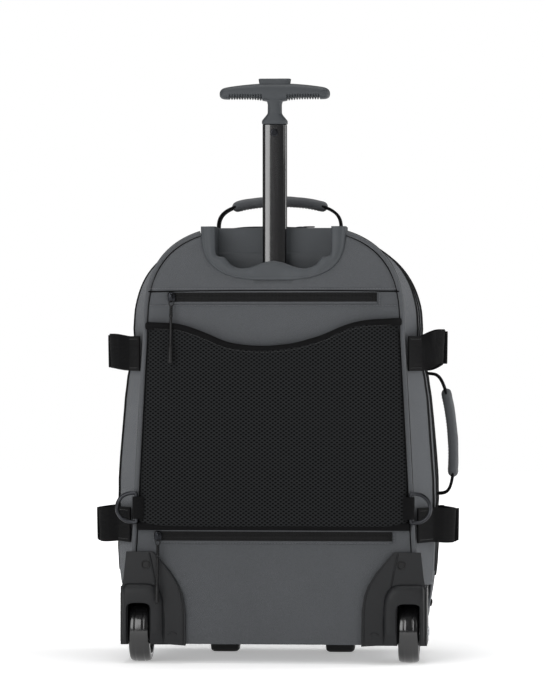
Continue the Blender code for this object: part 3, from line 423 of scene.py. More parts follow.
@once
def tyre_rubber():
    """Cast tyre: glossy, dulled and greyed in patches of dust and in fine scratches round the wheel."""
    made = Finish("tyre_rubber", Specular_IOR_Level=0.6, Coat_Weight=0.35, Coat_Roughness=0.12)
    scratch = made.noise(260, 4, (3, 1, 1))
    dust = made.step(made.noise(45, 5), 0.42, 0.7)
    base = colours().tyre
    colour = made.mix(dust * 0.25 + scratch * 0.15, base, shade(base, 2.0))
    return made.finished(colour, 0.12 + dust * 0.10 + scratch * 0.08, scratch, 0.00004)


@once
def hub_plastic():
    return moulded("hub_plastic", shade(colours().housing, 0.75), 0.34, 900)


# ---------------------------------------------------------------- surfaces


def lengths(points, axis):
    """Distance travelled along one direction of a grid of points."""
    steps = np.linalg.norm(np.diff(points, axis=axis), axis=2)
    zero = np.zeros_like(np.take(steps, [0], axis=axis))
    return np.concatenate([zero, np.cumsum(steps, axis=axis)], axis=axis)


def sheet(points, uv=None, keep=None):
    """One grid of points, with its map in metres and the cells that are kept."""
    if uv is None:
        uv = np.stack([lengths(points, 1), lengths(points, 0)], axis=2)
    if keep is None:
        keep = np.ones((points.shape[0] - 1, points.shape[1] - 1), bool)
    return points, uv, keep


def centres(points):
    """Middle of each cell of a grid."""
    return (points[:-1, :-1] + points[1:, :-1] + points[:-1, 1:] + points[1:, 1:]) / 4


def cap(ring):
    """A closed ring of points drawn in to its middle."""
    middle = np.broadcast_to(ring[:-1].mean(axis=0), ring.shape)
    return sheet(np.stack([ring, middle]))


def cloth_mesh(name, sheets, finish, body, replaced=(), wall=0.0, closed=True, crease=40):
    """Join grids into one object in the frame: cells become faces, seams are welded, normals turned outwards."""
    corners, maps, faces, count = [], [], [], 0
    for points, uv, keep in sheets:
        rows, cols = points.shape[:2]
        index = np.arange(rows * cols).reshape(rows, cols) + count
        cells = np.stack([index[:-1, :-1], index[:-1, 1:], index[1:, 1:], index[1:, :-1]], axis=2)[keep]
        corners.append(points.reshape(-1, 3))
        maps.append(uv.reshape(-1, 2))
        faces.append(cells)
        count += rows * cols
    place = np.concatenate(corners) + (0.0, REAR, 0.0)
    flat = np.concatenate(maps)
    cells = np.concatenate(faces)
    mesh = bpy.data.meshes.new(name)
    mesh.from_pydata(place.tolist(), [], cells.tolist())
    layer = mesh.uv_layers.new(name="metres")
    layer.data.foreach_set("uv", flat[cells.reshape(-1)].astype(np.float32).reshape(-1))
    shape = bmesh.new()
    shape.from_mesh(mesh)
    bmesh.ops.remove_doubles(shape, verts=shape.verts, dist=2e-6)
    bmesh.ops.delete(shape, geom=[v for v in shape.verts if not v.link_faces], context="VERTS")
    if closed:
        bmesh.ops.recalc_face_normals(shape, faces=shape.faces)
    shape.to_mesh(mesh)
    shape.free()
    mesh.shade_smooth()
    mesh.set_sharp_from_angle(angle=math.radians(crease))
    mesh.materials.append(finish)
    made = bpy.data.objects.new(name, mesh)
    bpy.context.scene.collection.objects.link(made)
    if wall:
        step = made.modifiers.new("wall", "SOLIDIFY")
        step.thickness = wall
        step.offset = -1
        step.use_even_offset = False
    if body:
        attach(made, body)
    if replaced:
        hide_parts(*replaced)
    return made


def unit(vectors):
    return vectors / np.maximum(np.linalg.norm(vectors, axis=-1, keepdims=True), 1e-12)


def carried(path, section, upright, loop=False):
    """A section carried along a path. section is (points, 2) or (path, points, 2): along upright, then across it."""
    path = np.asarray(path, float)
    if loop:
        ahead, behind = np.roll(path[:-1], -1, axis=0), np.roll(path[:-1], 1, axis=0)
        along = unit(ahead - behind)
        along = np.concatenate([along, along[:1]])
    else:
        along = unit(np.gradient(path, axis=0))
    upright = np.broadcast_to(np.asarray(upright, float), path.shape)
    side = unit(np.cross(along, upright))
    upright = unit(np.cross(side, along))
    section = np.asarray(section, float)
    if section.ndim == 2:
        section = np.broadcast_to(section, (len(path), *section.shape))
    first, second = section[..., :1], section[..., 1:]
    return path[:, None] + upright[:, None] * first + side[:, None] * second


def tube_sheets(path, section, upright, loop=False):
    """A carried section with its ends closed."""
    points = carried(path, section, upright, loop)
    if loop:
        return [sheet(points)]
    return [sheet(points), cap(points[0]), cap(points[-1])]


def oval(half_a, half_b, power=2.0, count=24):
    """Closed superellipse, |a|^power + |b|^power = 1, with its first point repeated at the end."""
    angle = np.linspace(0, 2 * math.pi, count + 1)
    cosine, sine = np.cos(angle), np.sin(angle)
    a = np.sign(cosine) * np.abs(cosine) ** (2 / power)
    b = np.sign(sine) * np.abs(sine) ** (2 / power)
    return np.stack([np.asarray(half_a)[..., None] * a, np.asarray(half_b)[..., None] * b], axis=-1)


def evenly(path, count, smooth=0):
    """The same line with points at equal distances, its corners relaxed by repeated averaging."""
    path = np.asarray(path, float)
    for _ in range(2):
        travelled = np.concatenate([[0], np.cumsum(np.linalg.norm(np.diff(path, axis=0), axis=1))])
        wanted = np.linspace(0, travelled[-1], count)
        path = np.stack([np.interp(wanted, travelled, path[:, i]) for i in range(3)], axis=1)
        for _ in range(smooth):
            path[1:-1] = (path[:-2] + 2 * path[1:-1] + path[2:]) / 4
    return path


def turned(profile, centre, axis, count=64):
    """A profile of (radius, distance) points turned about an axis through centre. Closed rings, welded later."""
    profile = np.asarray(profile, float)
    angle = np.linspace(0, 2 * math.pi, count + 1)
    first, second = {"X": (1, 2), "Y": (2, 0), "Z": (0, 1)}[axis]
    points = np.zeros((len(profile), count + 1, 3))
    points[..., "XYZ".index(axis)] = profile[:, 1:]
    points[..., first] = profile[:, :1] * np.cos(angle)
    points[..., second] = profile[:, :1] * np.sin(angle)
    return points + np.asarray(centre, float)


def ripple(points, size, seed):
    """Smooth unevenness from -1 to 1: nine sine waves about one size long, in directions fixed by the seed."""
    picked = np.random.default_rng(seed)
    waves = picked.normal(size=(9, 3)) * (2 * math.pi / size)
    phase = picked.uniform(0, 2 * math.pi, 9)
    return np.sin(points @ waves.T * 0.6 + phase).mean(axis=-1) * 1.6


def bell(value, centre, width):
    """1 at the centre, falling away as exp(-((value - centre) / width)^2)."""
    return np.exp(-(((value - centre) / width) ** 2))


def ease(value, low, high):
    """0 at low, 1 at high, 3t^2 - 2t^3 between."""
    share = np.clip((value - low) / (high - low), 0, 1)
    return share * share * (3 - 2 * share)


def faced(points):
    """Unit normals of a grid, from its two tangents."""
    return unit(np.cross(np.gradient(points, axis=1), np.gradient(points, axis=0)))


def stitches(path, normal, pitch=None, thick=0.00045):
    """Stitches along a line: each a low lozenge of thread lying on the cloth, sinking at both ends."""
    pitch = pitch or sizes().stitch
    path = np.asarray(path, float)
    travelled = np.concatenate([[0], np.cumsum(np.linalg.norm(np.diff(path, axis=0), axis=1))])
    normal = np.broadcast_to(np.asarray(normal, float), path.shape)
    count = int(travelled[-1] / pitch)
    share = np.array([0.0, 0.12, 0.5, 0.88, 1.0]) * 0.72
    made = []
    for number in range(count):
        wanted = (number + 0.14 + share) * pitch
        line = np.stack([np.interp(wanted, travelled, path[:, i]) for i in range(3)], axis=1)
        up = np.stack([np.interp(wanted, travelled, normal[:, i]) for i in range(3)], axis=1)
        sunk = np.array([-0.9, 0.1, 0.5, 0.1, -0.9]) * thick
        radius = np.array([0.5, 0.9, 1.0, 0.9, 0.5]) * thick
        made.append(sheet(carried(line + up * sunk[:, None], oval(radius, radius * 0.8, 2, 6), up)))
    return made


# ---------------------------------------------------------------- the bag's form


def side_half(z):
    """Half the widest outline: a barrel, fullest at 0.150 up."""
    z = np.asarray(z, float)
    low = np.clip((0.150 - z) / 0.128, 0, None)
    high = np.clip((z - 0.150) / 0.222, 0, None)
    return 0.185 - 0.016 * low**1.5 - 0.019 * high**1.8


def back_half(z):
    return 0.1635 - 0.0165 * (np.asarray(z, float) - 0.060) / 0.312


def flare(y):
    return np.sin(np.pi / 2 * np.clip(np.asarray(y, float) / FLARE_DEPTH, 0, 1))


def half_at(y, z):
    return back_half(z) + (side_half(z) - back_half(z)) * flare(y)


def half_outline(y, inset, parts):
    """Right half of the bag's outline at depths y, moved in by inset. parts picks bottom, side, door side, arch."""
    y, inset = np.asarray(y, float)[:, None], np.asarray(inset, float)[:, None]
    one = np.ones_like(y)
    corner_x = half_at(y, CORNER_Z) - CORNER
    shoulder = half_at(y, SHOULDER_Z) - inset
    x, z = [], []
    if "bottom" in parts:
        for start, end, steps in ((0 * one, NOTCH_X * one, 8), (NOTCH_X * one, corner_x, 6)):
            share = np.linspace(0, 1, steps, endpoint=False)
            x.append(start + (end - start) * share)
            z.append((BASE_Z + inset) * np.ones_like(share))
        angle = np.radians(np.linspace(-90, 0, 9)[:-1])
        x.append(corner_x + (CORNER - inset) * np.cos(angle))
        z.append(CORNER_Z + (CORNER - inset) * np.sin(angle))
    if "side" in parts:
        heights = np.concatenate([np.linspace(CORNER_Z, NOTCH_Z, 7)[:-1], np.linspace(NOTCH_Z, SHOULDER_Z, 58)[:-1]])
        x.append(half_at(y, heights) - inset)
        z.append(one * heights)
    if "foot side" in parts:
        heights = np.linspace(CORNER_Z, DOOR_Z - 0.0003, 3)
        x.append(half_at(y, heights) - inset)
        z.append(one * heights)
    if "door side" in parts:
        heights = np.linspace(DOOR_Z, SHOULDER_Z, 64)[:-1]
        x.append(half_at(y, heights) - inset)
        z.append(one * heights)
    if "arch" in parts:
        power = 3 - 0.5 * flare(y)
        seat = np.arccos(np.clip(TRAY_SEAT_X / shoulder, 0, 1) ** (power / 2))
        for start, end, steps, last in ((0 * one, seat, 26, False), (seat, np.pi / 2 * one, 20, True)):
            angle = start + (end - start) * np.linspace(0, 1, steps, endpoint=last)
            x.append(shoulder * np.abs(np.cos(angle)) ** (2 / power))
            z.append(SHOULDER_Z + (TOP_Z - inset - SHOULDER_Z) * np.abs(np.sin(angle)) ** (2 / power))
    return np.concatenate(x, axis=1), np.concatenate(z, axis=1)


def ring_grid(y, inset, parts):
    """Grid of depths by outline: the right half followed by its mirror image."""
    x, z = half_outline(y, inset, parts)
    x, z = np.concatenate([x, -x[:, ::-1]], axis=1), np.concatenate([z, z[:, ::-1]], axis=1)
    return np.stack([x, np.broadcast_to(np.asarray(y)[:, None], x.shape), z], axis=2)


def face_grid(x_edge, z_edge, y, columns=72):
    """A face filled between an outline's right half and its mirror image, row by row."""
    share = np.linspace(-1, 1, columns)
    x = x_edge[:, None] * share
    return np.stack([x, np.full_like(x, y), np.broadcast_to(z_edge[:, None], x.shape)], axis=2)


def round_front(first, count, degrees):
    """Depths from first to the front, where the case's edge is rounded, and how far the outline draws in there."""
    start = BAG_DEPTH - FRONT_ROUND
    depths = np.concatenate([np.linspace(first, start, count), start + FRONT_ROUND * np.sin(np.radians(degrees))])
    past = np.clip(depths - start, 0, None)
    return depths, FRONT_ROUND - np.sqrt(np.clip(FRONT_ROUND**2 - past**2, 0, None))


SEAM_LINES = (0.044, 0.062, 0.137)  # depths of the gusset's piped seams
SEAM_STAND_OFF = 0.0009  # height of a seam's tape over the cloth


def fabric_relief(points):
    """How far the gusset's cloth stands off its form: it sinks between seams and edges, creases a little
    along its length, is drawn in under the straps, and rises in a fine roll beside each seam."""
    y, z = points[..., 1], points[..., 2]
    sag = sizes().sag
    side = ease(np.abs(points[..., 0]), 0.09, 0.15)
    panels = np.sin(np.pi * np.clip((y - 0.062) / 0.075, 0, 1)) * -sag
    panels += np.sin(np.pi * np.clip((y - 0.004) / 0.040, 0, 1)) * -sag * 0.35
    creases = ripple(points * (1.0, 1.0, 0.35), 0.06, 5) * 0.0009 + ripple(points * (1, 0.5, 1), 0.11, 8) * 0.0011
    drawn = sum(bell(z, at, 0.030) for at in STRAP_ROWS) * side * -0.0022
    puckers = sum(bell(z, at, 0.045) * np.cos((z - at) / 0.0042) for at in STRAP_ROWS) * 0.00035 * side
    seams = sum(bell(y, at, 0.0014) * -0.0013 + bell(y, at, 0.0045) * 0.0006 for at in SEAM_LINES)
    edges = ease(y, 0.002, 0.012) * ease(DOOR_Y - y, -0.06, 0.004)
    return (panels + creases + drawn + puckers) * edges + seams * ease(y, 0.02, 0.04)


def seam_ring(y, start_z):
    """Right side, over the top and down the left side at one depth, a little off the cloth."""
    points = ring_grid(np.array([y - 0.002, y, y + 0.002]), np.zeros(3), ("side", "arch"))
    normal = outwards(points)
    relief = fabric_relief(points)
    line = (points + normal * (relief + SEAM_STAND_OFF)[..., None])[1]
    keep = line[:, 2] > start_z
    return line[keep], normal[1, keep]


def outwards(points):
    """Grid normals turned away from the bag's middle."""
    normal = faced(points)
    away = points - (0.0, 0.10, 0.26)
    return normal * np.sign((normal * away).sum(axis=2, keepdims=True))


def add_bag_shell():
    """Gussets, top and base: the outline's grid from the piped edge to the door's seam, cut out over the wheel
    wells and behind the handle tray, with the cloth's relief along its normals. A lining makes its wall."""
    depths = np.concatenate([
        np.linspace(0, TRAY_SEAT_Y, 20)[:-1],
        np.linspace(TRAY_SEAT_Y, NOTCH_Y, 22)[:-1],
        np.linspace(NOTCH_Y, 0.1400, 34),
    ])  # fmt: skip
    flat = ring_grid(depths, np.zeros_like(depths), ("bottom", "side", "arch"))
    points = flat + outwards(flat) * fabric_relief(flat)[..., None] * ease(flat[..., 2:], 0.05, 0.10)
    middle = centres(flat)
    well = (np.abs(middle[..., 0]) > NOTCH_X) & (middle[..., 2] < NOTCH_Z) & (middle[..., 1] < NOTCH_Y)
    seat = (np.abs(middle[..., 0]) < TRAY_SEAT_X) & (middle[..., 2] > 0.43) & (middle[..., 1] < TRAY_SEAT_Y)
    body = sheet(points, keep=~(well | seat))
    low, inset = round_front(0.1400, 7, [18, 36, 54, 72, 90])
    foot = ring_grid(low, inset, ("bottom", "foot side"))
    x, z = half_outline(low[-1:], inset[-1:], ("bottom", "foot side"))
    front = face_grid(x[0], z[0], BAG_DEPTH, 40)
    sheets = [body, sheet(foot), sheet(front)]
    cloth_mesh("bag_shell", sheets, side_fabric(), "root", ["main_shell"], wall=WALL * 0.8)


def pocket_height(x, z):
    """Two padded front pockets, the lower with round corners, the upper arched, raised off the door."""
    high = sizes().front_pocket
    lower = ease(0.128 - np.abs(x), -0.002, 0.014) * ease(z, 0.080, 0.096) * ease(0.292 - z, 0.0, 0.014)
    arch = 0.455 - 0.045 * (np.abs(x) / 0.118) ** 2.4
    upper = ease(0.118 - np.abs(x), -0.002, 0.012) * ease(z, 0.306, 0.318) * ease(arch - z, 0.0, 0.014)
    return lower * high + upper * high * 0.8


def add_front_door():
    """The padded front that the long zip lets down: sides, rounded edge and a front with two raised pockets."""
    depths, inset = round_front(DOOR_Y, 16, np.linspace(8, 90, 11))
    flat = ring_grid(depths, inset, ("door side", "arch"))
    fade = ease(depths, DOOR_Y, DOOR_Y + 0.01)[:, None, None] * ease(-depths, -BAG_DEPTH,
                                                                     FRONT_ROUND - BAG_DEPTH)[:, None, None]
    relief = ripple(flat * (1, 1, 0.5), 0.08, 12)[..., None] * 0.0012 * ease(flat[..., 2:], 0.062, 0.09)
    points = flat + outwards(flat) * relief * fade
    x, z = half_outline(depths[-1:], inset[-1:], ("door side", "arch"))
    front = face_grid(x[0], z[0], BAG_DEPTH, 110)
    inside = ease(x[0][:, None] - np.abs(front[..., 0]), 0, 0.02) * ease(z[0], DOOR_Z, 0.08)[:, None]
    swell = 0.004 * inside + ripple(front, 0.10, 3) * 0.0010 * inside
    front[..., 1] += swell + pocket_height(front[..., 0], front[..., 2]) * inside
    made = cloth_mesh("front_door_cloth", [sheet(points), sheet(front)], side_fabric(), "door",
                      ["front_door"], wall=WALL * 0.8)  # fmt: skip
    zips = []
    share = np.linspace(-1, 1, 90)
    for reach, line in ((0.112, 0.284 + 0 * share), (0.104, 0.442 - 0.045 * (np.abs(share) * 0.104 / 0.118) ** 2.4)):
        x_line = share * reach
        y_line = BAG_DEPTH + 0.004 + pocket_height(x_line, line) + 0.0012
        path = np.stack([x_line, y_line, line], axis=1)
        zips += tube_sheets(path, oval(0.0055, 0.0007, 4, 16), (0, -0.35, 1))
        zips += tube_sheets(path + (0, 0.0009, 0), oval(0.0017, 0.0005, 2, 8), (0, -0.35, 1))
    cloth_mesh("front_pocket_zips", zips, zip_tape(), "door")


def add_side_seams():
    """The long zip at the door's edge and the two piped seams of the gusset, each a flat tape with a
    narrow cord in its middle, and the tape along the foot of the door that is its hinge."""
    tapes, cords = [], []
    for y, start_z, width in ((SEAM_LINES[0], 0.17, 0.0028), (SEAM_LINES[1], 0.10, 0.0030),
                              (SEAM_LINES[2], 0.092, 0.0050)):
        line, normal = seam_ring(y, start_z)
        tapes += tube_sheets(line, oval(width, 0.0005, 4, 12), np.cross(np.gradient(line, axis=0), normal))
        cords += tube_sheets(line + normal * 0.0006, oval(0.0010, 0.0008, 2, 8), normal)
    cloth_mesh("gusset_zips", tapes + cords, zip_tape(), "root")
    depth, inset = round_front(DOOR_Y, 8, np.linspace(10, 90, 12))
    right = np.stack([half_at(depth, DOOR_Z) - inset, depth, 0 * depth + DOOR_Z - 0.0012], axis=1)
    whole = evenly(np.concatenate([right, (right * (-1, 1, 1))[::-1]]), 200)
    hinge = tube_sheets(whole, oval(0.0030, 0.0018, 3, 14), (0, 0, 1))
    cloth_mesh("door_hinge_tape", hinge, webbing(), "root")


def add_rear_panel():
    """The rear panel's cloth: the piped outline filled row by row, softly padded, with the flap over the
    upper pocket, puckers beside its stitching, and openings for the wheels and the tray."""
    y0 = np.zeros(1)
    x, z = half_outline(y0, y0 + 0.0012, ("bottom", "side", "arch"))
    first = 14
    x, z = x[0][first:], z[0][first:]
    inner = np.minimum(NECK_X, x * 0.8)
    share = np.linspace(0, 1, 13)[1:]
    right = np.concatenate([inner[:, None] * np.linspace(0, 1, 50), inner[:, None] + (x - inner)[:, None] * share],
                           axis=1)
    grid_x = np.concatenate([-right[:, :0:-1], right], axis=1)
    grid_z = np.broadcast_to(z[:, None], grid_x.shape)
    edge = ease(x[:, None] - np.abs(grid_x), 0.0, 0.006)
    top = 0.372 + 0.127 * (1 - np.clip(np.abs(grid_x) / 0.147, 0, 1) ** 3) ** (1 / 3)
    edge = edge * ease(top - grid_z, 0, 0.006) * ease(grid_z, BASE_Z, BASE_Z + 0.008)
    place = np.stack([grid_x, 0 * grid_x, grid_z], axis=2)
    swell = 0.0016 * ease(grid_z, 0.385, 0.44) + 0.0018 * bell(grid_z, 0.085,
                                                               0.05) * ease(0.095 - np.abs(grid_x), 0, 0.05)
    flap = 0.0022 * ease(grid_z, 0.4250, 0.4262) * bell(grid_z, 0.4262, 0.020) * ease(0.149 - np.abs(grid_x), 0, 0.004)
    puckers = (bell(grid_z, 0.4262, 0.0035) + bell(grid_z, 0.4090, 0.0030)) * np.cos(grid_x / 0.0011) * 0.00010
    sunk = -0.0008 * (bell(grid_z, 0.4265, 0.0011) + bell(grid_z, 0.4092, 0.0011) + bell(grid_z, 0.1380, 0.0011))
    wrinkle = ripple(place, 0.09, 21) * 0.0007 + ripple(place * (1, 1, 0.4), 0.035, 4) * 0.0003
    calm = 1 - 0.95 * np.clip(bell(grid_z, 0.4184, 0.011) + bell(grid_z, 0.1456, 0.010), 0, 1)
    depth = -0.0002 - ((swell + wrinkle) * calm + flap + sunk + puckers + 0.0009) * edge
    points = np.stack([grid_x, depth, grid_z], axis=2)
    middle = centres(points)
    well = (np.abs(middle[..., 0]) > NECK_X) & (middle[..., 2] < NOTCH_Z)
    bowl = (np.abs(middle[..., 0]) / 0.0745) ** 3 + (np.clip(TOP_Z + 0.012 - middle[..., 2], 0, None) / 0.0715) ** 3 < 1
    uv = np.stack([grid_x, grid_z], axis=2)
    cloth_mesh("rear_panel", [sheet(points, uv, ~(well | bowl))], body_fabric(), "root", ["back_panel"],
               wall=0.004, closed=False)  # fmt: skip


def add_piping():
    """The corded edge round the rear panel, from one wheel housing over the top to the other, with a thin black
    cord on either side of it painted as the shadow lines beside the piping."""
    y0 = np.zeros(1)
    x, z = half_outline(y0, y0, ("side", "arch"))
    keep = (z[0] > 0.122) & (x[0] > TRAY_SEAT_X)
    right = evenly(np.stack([x[0][keep], 0 * x[0][keep], z[0][keep]], axis=1), 240)
    radius = sizes().piping
    cord, seams = [], []
    for _, side in SIDES:
        line = right * (side, 1, 1)
        outside = unit((line - (0, 0, 0.25)) * (1, 0, 1))
        cord += tube_sheets(line + outside * 0.0004 + (0, -0.0008, 0), oval(radius, radius, 2, 14), (0, 1, 0))
        # painted shadow: two thin black cords, one on the panel inside the piping and one against the gusset outside
        # it, stand in for the shadow lines beside the piping
        seams += tube_sheets(line - outside * 0.0031 + (0, -0.0006, 0), oval(0.0009, 0.0011, 2, 8), (0, 1, 0))
        seams += tube_sheets(line + outside * 0.0026 + (0, 0.0016, 0), oval(0.0012, 0.0010, 2, 8), (0, 1, 0))
    cloth_mesh("piping", cord, body_fabric(), "root")
    cloth_mesh("piping_shadow_lines", seams, webbing(), "root")


def add_rear_stitching():
    """Rows of stitches round the pocket zips, and a black cord painted as the shadow under the flap's fold."""
    rows = []
    for z, half, y in ((0.4281, 0.142, -0.0040), (0.4088, 0.142, -0.0020), (0.1376, 0.136, -0.0022)):
        x = np.linspace(-half, half, 60)
        rows += stitches(np.stack([x, 0 * x + y, 0 * x + z], axis=1), (0, -1, 0))
    for x, low, high in ((0.1215, 0.4095, 0.4240), (-0.1215, 0.4095, 0.4240), (0.1375, 0.139, 0.152),
                         (-0.1375, 0.139, 0.152)):
        z = np.linspace(low, high, 12)
        rows += stitches(np.stack([0 * z + x, 0 * z - 0.0022, z], axis=1), (0, -1, 0))
    cloth_mesh("rear_stitching", rows, thread(), "root")
    # painted shadow: a thin black cord along the flap's fold stands in for the shadow under the flap
    x = np.linspace(-0.1435, 0.1435, 80)
    fold = np.stack([x, 0 * x - 0.0026, 0.4259 - 0.0012 * (x / 0.1435) ** 2], axis=1)
    cloth_mesh("pocket_fold_shadow", tube_sheets(fold, oval(0.0009, 0.0010, 2, 8), (0, 0, 1)), webbing(), "root")


# ---------------------------------------------------------------- mesh pocket and zips


MESH_MARGIN = 0.0032
MESH_EDGE = np.array([
    (-0.152, 0.3868), (-0.146, 0.3865), (-0.107, 0.3848), (-0.080, 0.3751), (-0.0547, 0.3637), (-0.0296, 0.3598),
    (-0.0034,
     0.3592), (0.0251, 0.3625), (0.057, 0.3716), (0.0844, 0.3842), (0.106, 0.3890), (0.1414, 0.3910), (0.152, 0.3912),
])  # fmt: skip


def mesh_top(x):
    """The pocket's bound edge: a wave through the table's points, smoothed over 20 mm."""
    shifts = np.linspace(-0.010, 0.010, 11)
    return sum(np.interp(x + shift, MESH_EDGE[:, 0], MESH_EDGE[:, 1]) for shift in shifts) / len(shifts)


def mesh_swell(x, z, high):
    """Padding of the pocket: full in the middle, rounded down to its edges, and thinner towards its waved top."""
    half = back_half(z) - MESH_MARGIN
    across = 1 - np.clip(np.abs(x) / half, 0, 1) ** 9
    up = np.clip((z - 0.153) / 0.016, 0, 1)
    top = np.clip((mesh_top(x) - z) / 0.030, 0, 1)
    return high * across**0.5 * np.sqrt(1 - (1 - up) ** 2) * (0.80 + 0.20 * np.sqrt(1 - (1 - top) ** 2))


def add_mesh_pocket():
    """The padded mesh pocket: panel lines by rows, z from its foot to its waved edge; its back lies on the panel.
    A ribbon rolls over the waved edge and a flat band closes its foot."""
    share = np.linspace(-1, 1, 150)
    rise = np.linspace(0, 1, 120)[:, None]
    x = share * (back_half(0.153) - MESH_MARGIN) * np.ones_like(rise)
    for _ in range(3):
        z = 0.153 + (mesh_top(x) - 0.153) * rise
        x = share * (back_half(z) - MESH_MARGIN)
    high = sizes().pocket_fill
    place = np.stack([x, 0 * x, z], axis=2)
    swell = mesh_swell(x, z, high)
    give = (ripple(place, 0.12, 31) * 0.0010 + ripple(place, 0.05, 33) * 0.0003) * np.clip(swell / high, 0, 1) ** 2
    front = np.stack([x, -0.0004 - swell - give, z], axis=2)
    back = np.stack([x, 0 * x - 0.0004, z], axis=2)
    uv = np.stack([x, z], axis=2)
    rim = [sheet(np.stack([front[-1], back[-1]]))]
    made = cloth_mesh("mesh_pocket_pad", [sheet(front, uv), sheet(back, uv)] + rim, spacer_mesh(), "root",
                      ["mesh_pocket"])
    x = np.linspace(-1, 1, 160) * (back_half(0.386) - 0.0030)
    edge = np.stack([x, -0.0006 - mesh_swell(x, mesh_top(x), high) * 0.5, mesh_top(x) - 0.0008], axis=1)
    wide = oval(0.0043, 0.0054, 3.2, 20)
    ribbon = tube_sheets(edge, wide, (0, 0, 1))
    x = np.linspace(-1, 1, 110) * (back_half(0.157) - MESH_MARGIN)
    ribbon += tube_sheets(np.stack([x, 0 * x - 0.0040, 0 * x + 0.1568], axis=1), oval(0.0044, 0.0036, 3, 16), (0, 0, 1))
    cloth_mesh("mesh_pocket_binding", ribbon, webbing(), "root")
    x = np.linspace(-0.136, 0.136, 120)
    edge = np.stack([x, -0.0106 + 0 * x, mesh_top(x) - 0.0040], axis=1)
    seam = stitches(edge, (0, -1, 0), 0.0032, 0.00035)
    cloth_mesh("mesh_pocket_stitching", seam, black_thread(), "root")


def add_zip(name, half, z, width):
    """A coil zip set flat in the panel: tape, closed coil seam, a stop at each end and the cloth's turned edge."""
    x = np.linspace(-half, half, 120)
    path = np.stack([x, 0 * x - 0.0019, 0 * x + z], axis=1)
    tape = tube_sheets(path, oval(width / 2, 0.0006, 6, 20), (0, 0, 1))
    coil = tube_sheets(path + (0, -0.0007, 0), oval(0.0019, 0.0007, 2.4, 12), (0, 0, 1))
    lips = []
    for side in (-1, 1):
        lip = path + (0, -0.0003, side * (width / 2 + 0.0006))
        lips += tube_sheets(lip, oval(0.0011, 0.0009, 2.2, 10), (0, 0, 1))
    stop = []
    for side in (-1, 1):
        end = np.array([[side * (half - 0.003), -0.0034, z - 0.003], [side * (half - 0.003), -0.0034, z + 0.003]])
        stop += tube_sheets(evenly(end, 5), oval(0.0011, 0.0008, 3, 10), (0, 1, 0))
    cloth_mesh(f"{name}_zip_tape", tape + coil + stop, zip_tape(), "root", [f"{name}_zip"])
    cloth_mesh(f"{name}_zip_lips", lips, body_fabric(), "root")


def add_slider(name, x, z):
    """A cast slider with its bridge and ring, and a cord pull: two twisted strands, a knot,
    a tube and a thicker end."""
    face = -0.0033
    body = []
    rise = np.linspace(0, 1, 9)
    half_up = 0.0058 * (1 - 0.10 * rise**2)
    half_side = 0.0046 - 0.0010 * rise**2
    ring = oval(half_side, half_up, 3.2, 24)
    depth = face - 0.0034 * np.sin(rise * np.pi / 2)
    ring = ring * np.sqrt(np.clip(1 - rise**6, 0.02, 1))[:, None, None]
    points = np.stack([x + ring[..., 0], depth[:, None] * np.ones_like(ring[..., 0]), z + ring[..., 1]], axis=2)
    body += [sheet(points), cap(points[0]), cap(points[-1])]
    t = np.linspace(0, np.pi, 18)
    bridge = np.stack([x + 0 * t, face - 0.0026 - 0.0034 * np.sin(t), z + 0.0050 * np.cos(t)], axis=1)
    body += tube_sheets(bridge, oval(0.0013, 0.0007, 3, 10), (1, 0, 0))
    cloth_mesh(f"{name}_slider_body", body, black_metal(), f"{name}_zip_slider", [f"{name}_slider"])
    top = np.array([x, -0.0083, z - 0.004])
    down = np.array([0.0, -math.sin(math.radians(9)), -math.cos(math.radians(9))])
    side = np.array([1.0, 0.0, 0.0])
    out = np.cross(down, side)
    t = np.linspace(0, 2 * np.pi, 25)
    link = top + down * (0.0035 - 0.0036 * np.cos(t))[:, None] + side * (0.0024 * np.sin(t))[:, None]
    metal = tube_sheets(link, oval(0.0006, 0.0006, 2, 8), out, loop=True)
    pull = [*metal]
    t = np.linspace(0, 1, 46)
    for phase in (0, np.pi):
        turn = 2 * np.pi * 2.2 * t + phase
        strand = top + down * (0.0062 + 0.0105 * t)[:, None]
        strand = strand + side * (0.00105 * np.cos(turn))[:, None] + out * (0.00105 * np.sin(turn))[:, None]
        pull += tube_sheets(strand, oval(0.00095, 0.00095, 2, 8), side)
    knot = turned([(0, -0.0022), (0.0014, -0.0020), (0.0021, -0.0010), (0.0022, 0.0004), (0.0017, 0.0018),
                   (0, 0.0022)], (0, 0, 0), "Z", 16)
    twist = np.sin(3 * np.arctan2(knot[..., 1], knot[..., 0]) + knot[..., 2] * 1800) * 0.00022
    knot = knot + unit(knot + 1e-9) * twist[..., None]
    lean = np.stack([side, -out, -down])
    pull += [sheet(top + down * 0.0180 + knot @ lean)]
    profile = np.array([(0, 0.0), (0.0012, 0.0002), (0.0016, 0.001), (0.0016, 0.023), (0.0019, 0.0245),
                        (0.0025, 0.0258),
                        (0.0027, 0.0280), (0.0027, 0.0390), (0.0023,
                                                             0.0408), (0.0012, 0.0414), (0, 0.0415)])  # fmt: skip
    profile[:, 1] *= 1.28
    fine = np.linspace(0, len(profile) - 1, 60)
    profile = np.stack([np.interp(fine, np.arange(len(profile)), profile[:, i]) for i in range(2)], axis=1)
    grips = (profile[:, 1] > 0.0365) & (profile[:, 1] < 0.0493)
    profile[:, 0] += np.where(grips, 0.00018 * np.cos(profile[:, 1] / 0.00028), 0)
    handle = turned(np.stack([profile[:, 0], -profile[:, 1]], axis=1), (0, 0, 0), "Z", 18)
    pull += [sheet(top + down * 0.0200 + handle @ lean)]
    cloth_mesh(f"{name}_cord_pull", pull, fitting_plastic(), f"{name}_zip_pull", [f"{name}_pull"])


# ---------------------------------------------------------------- straps, buckles and rings


def strap_half(y, z):
    """Half the bag's width under a strap, the larger of its two edges."""
    return np.maximum(half_at(y, z - 0.020), half_at(y, z + 0.020))


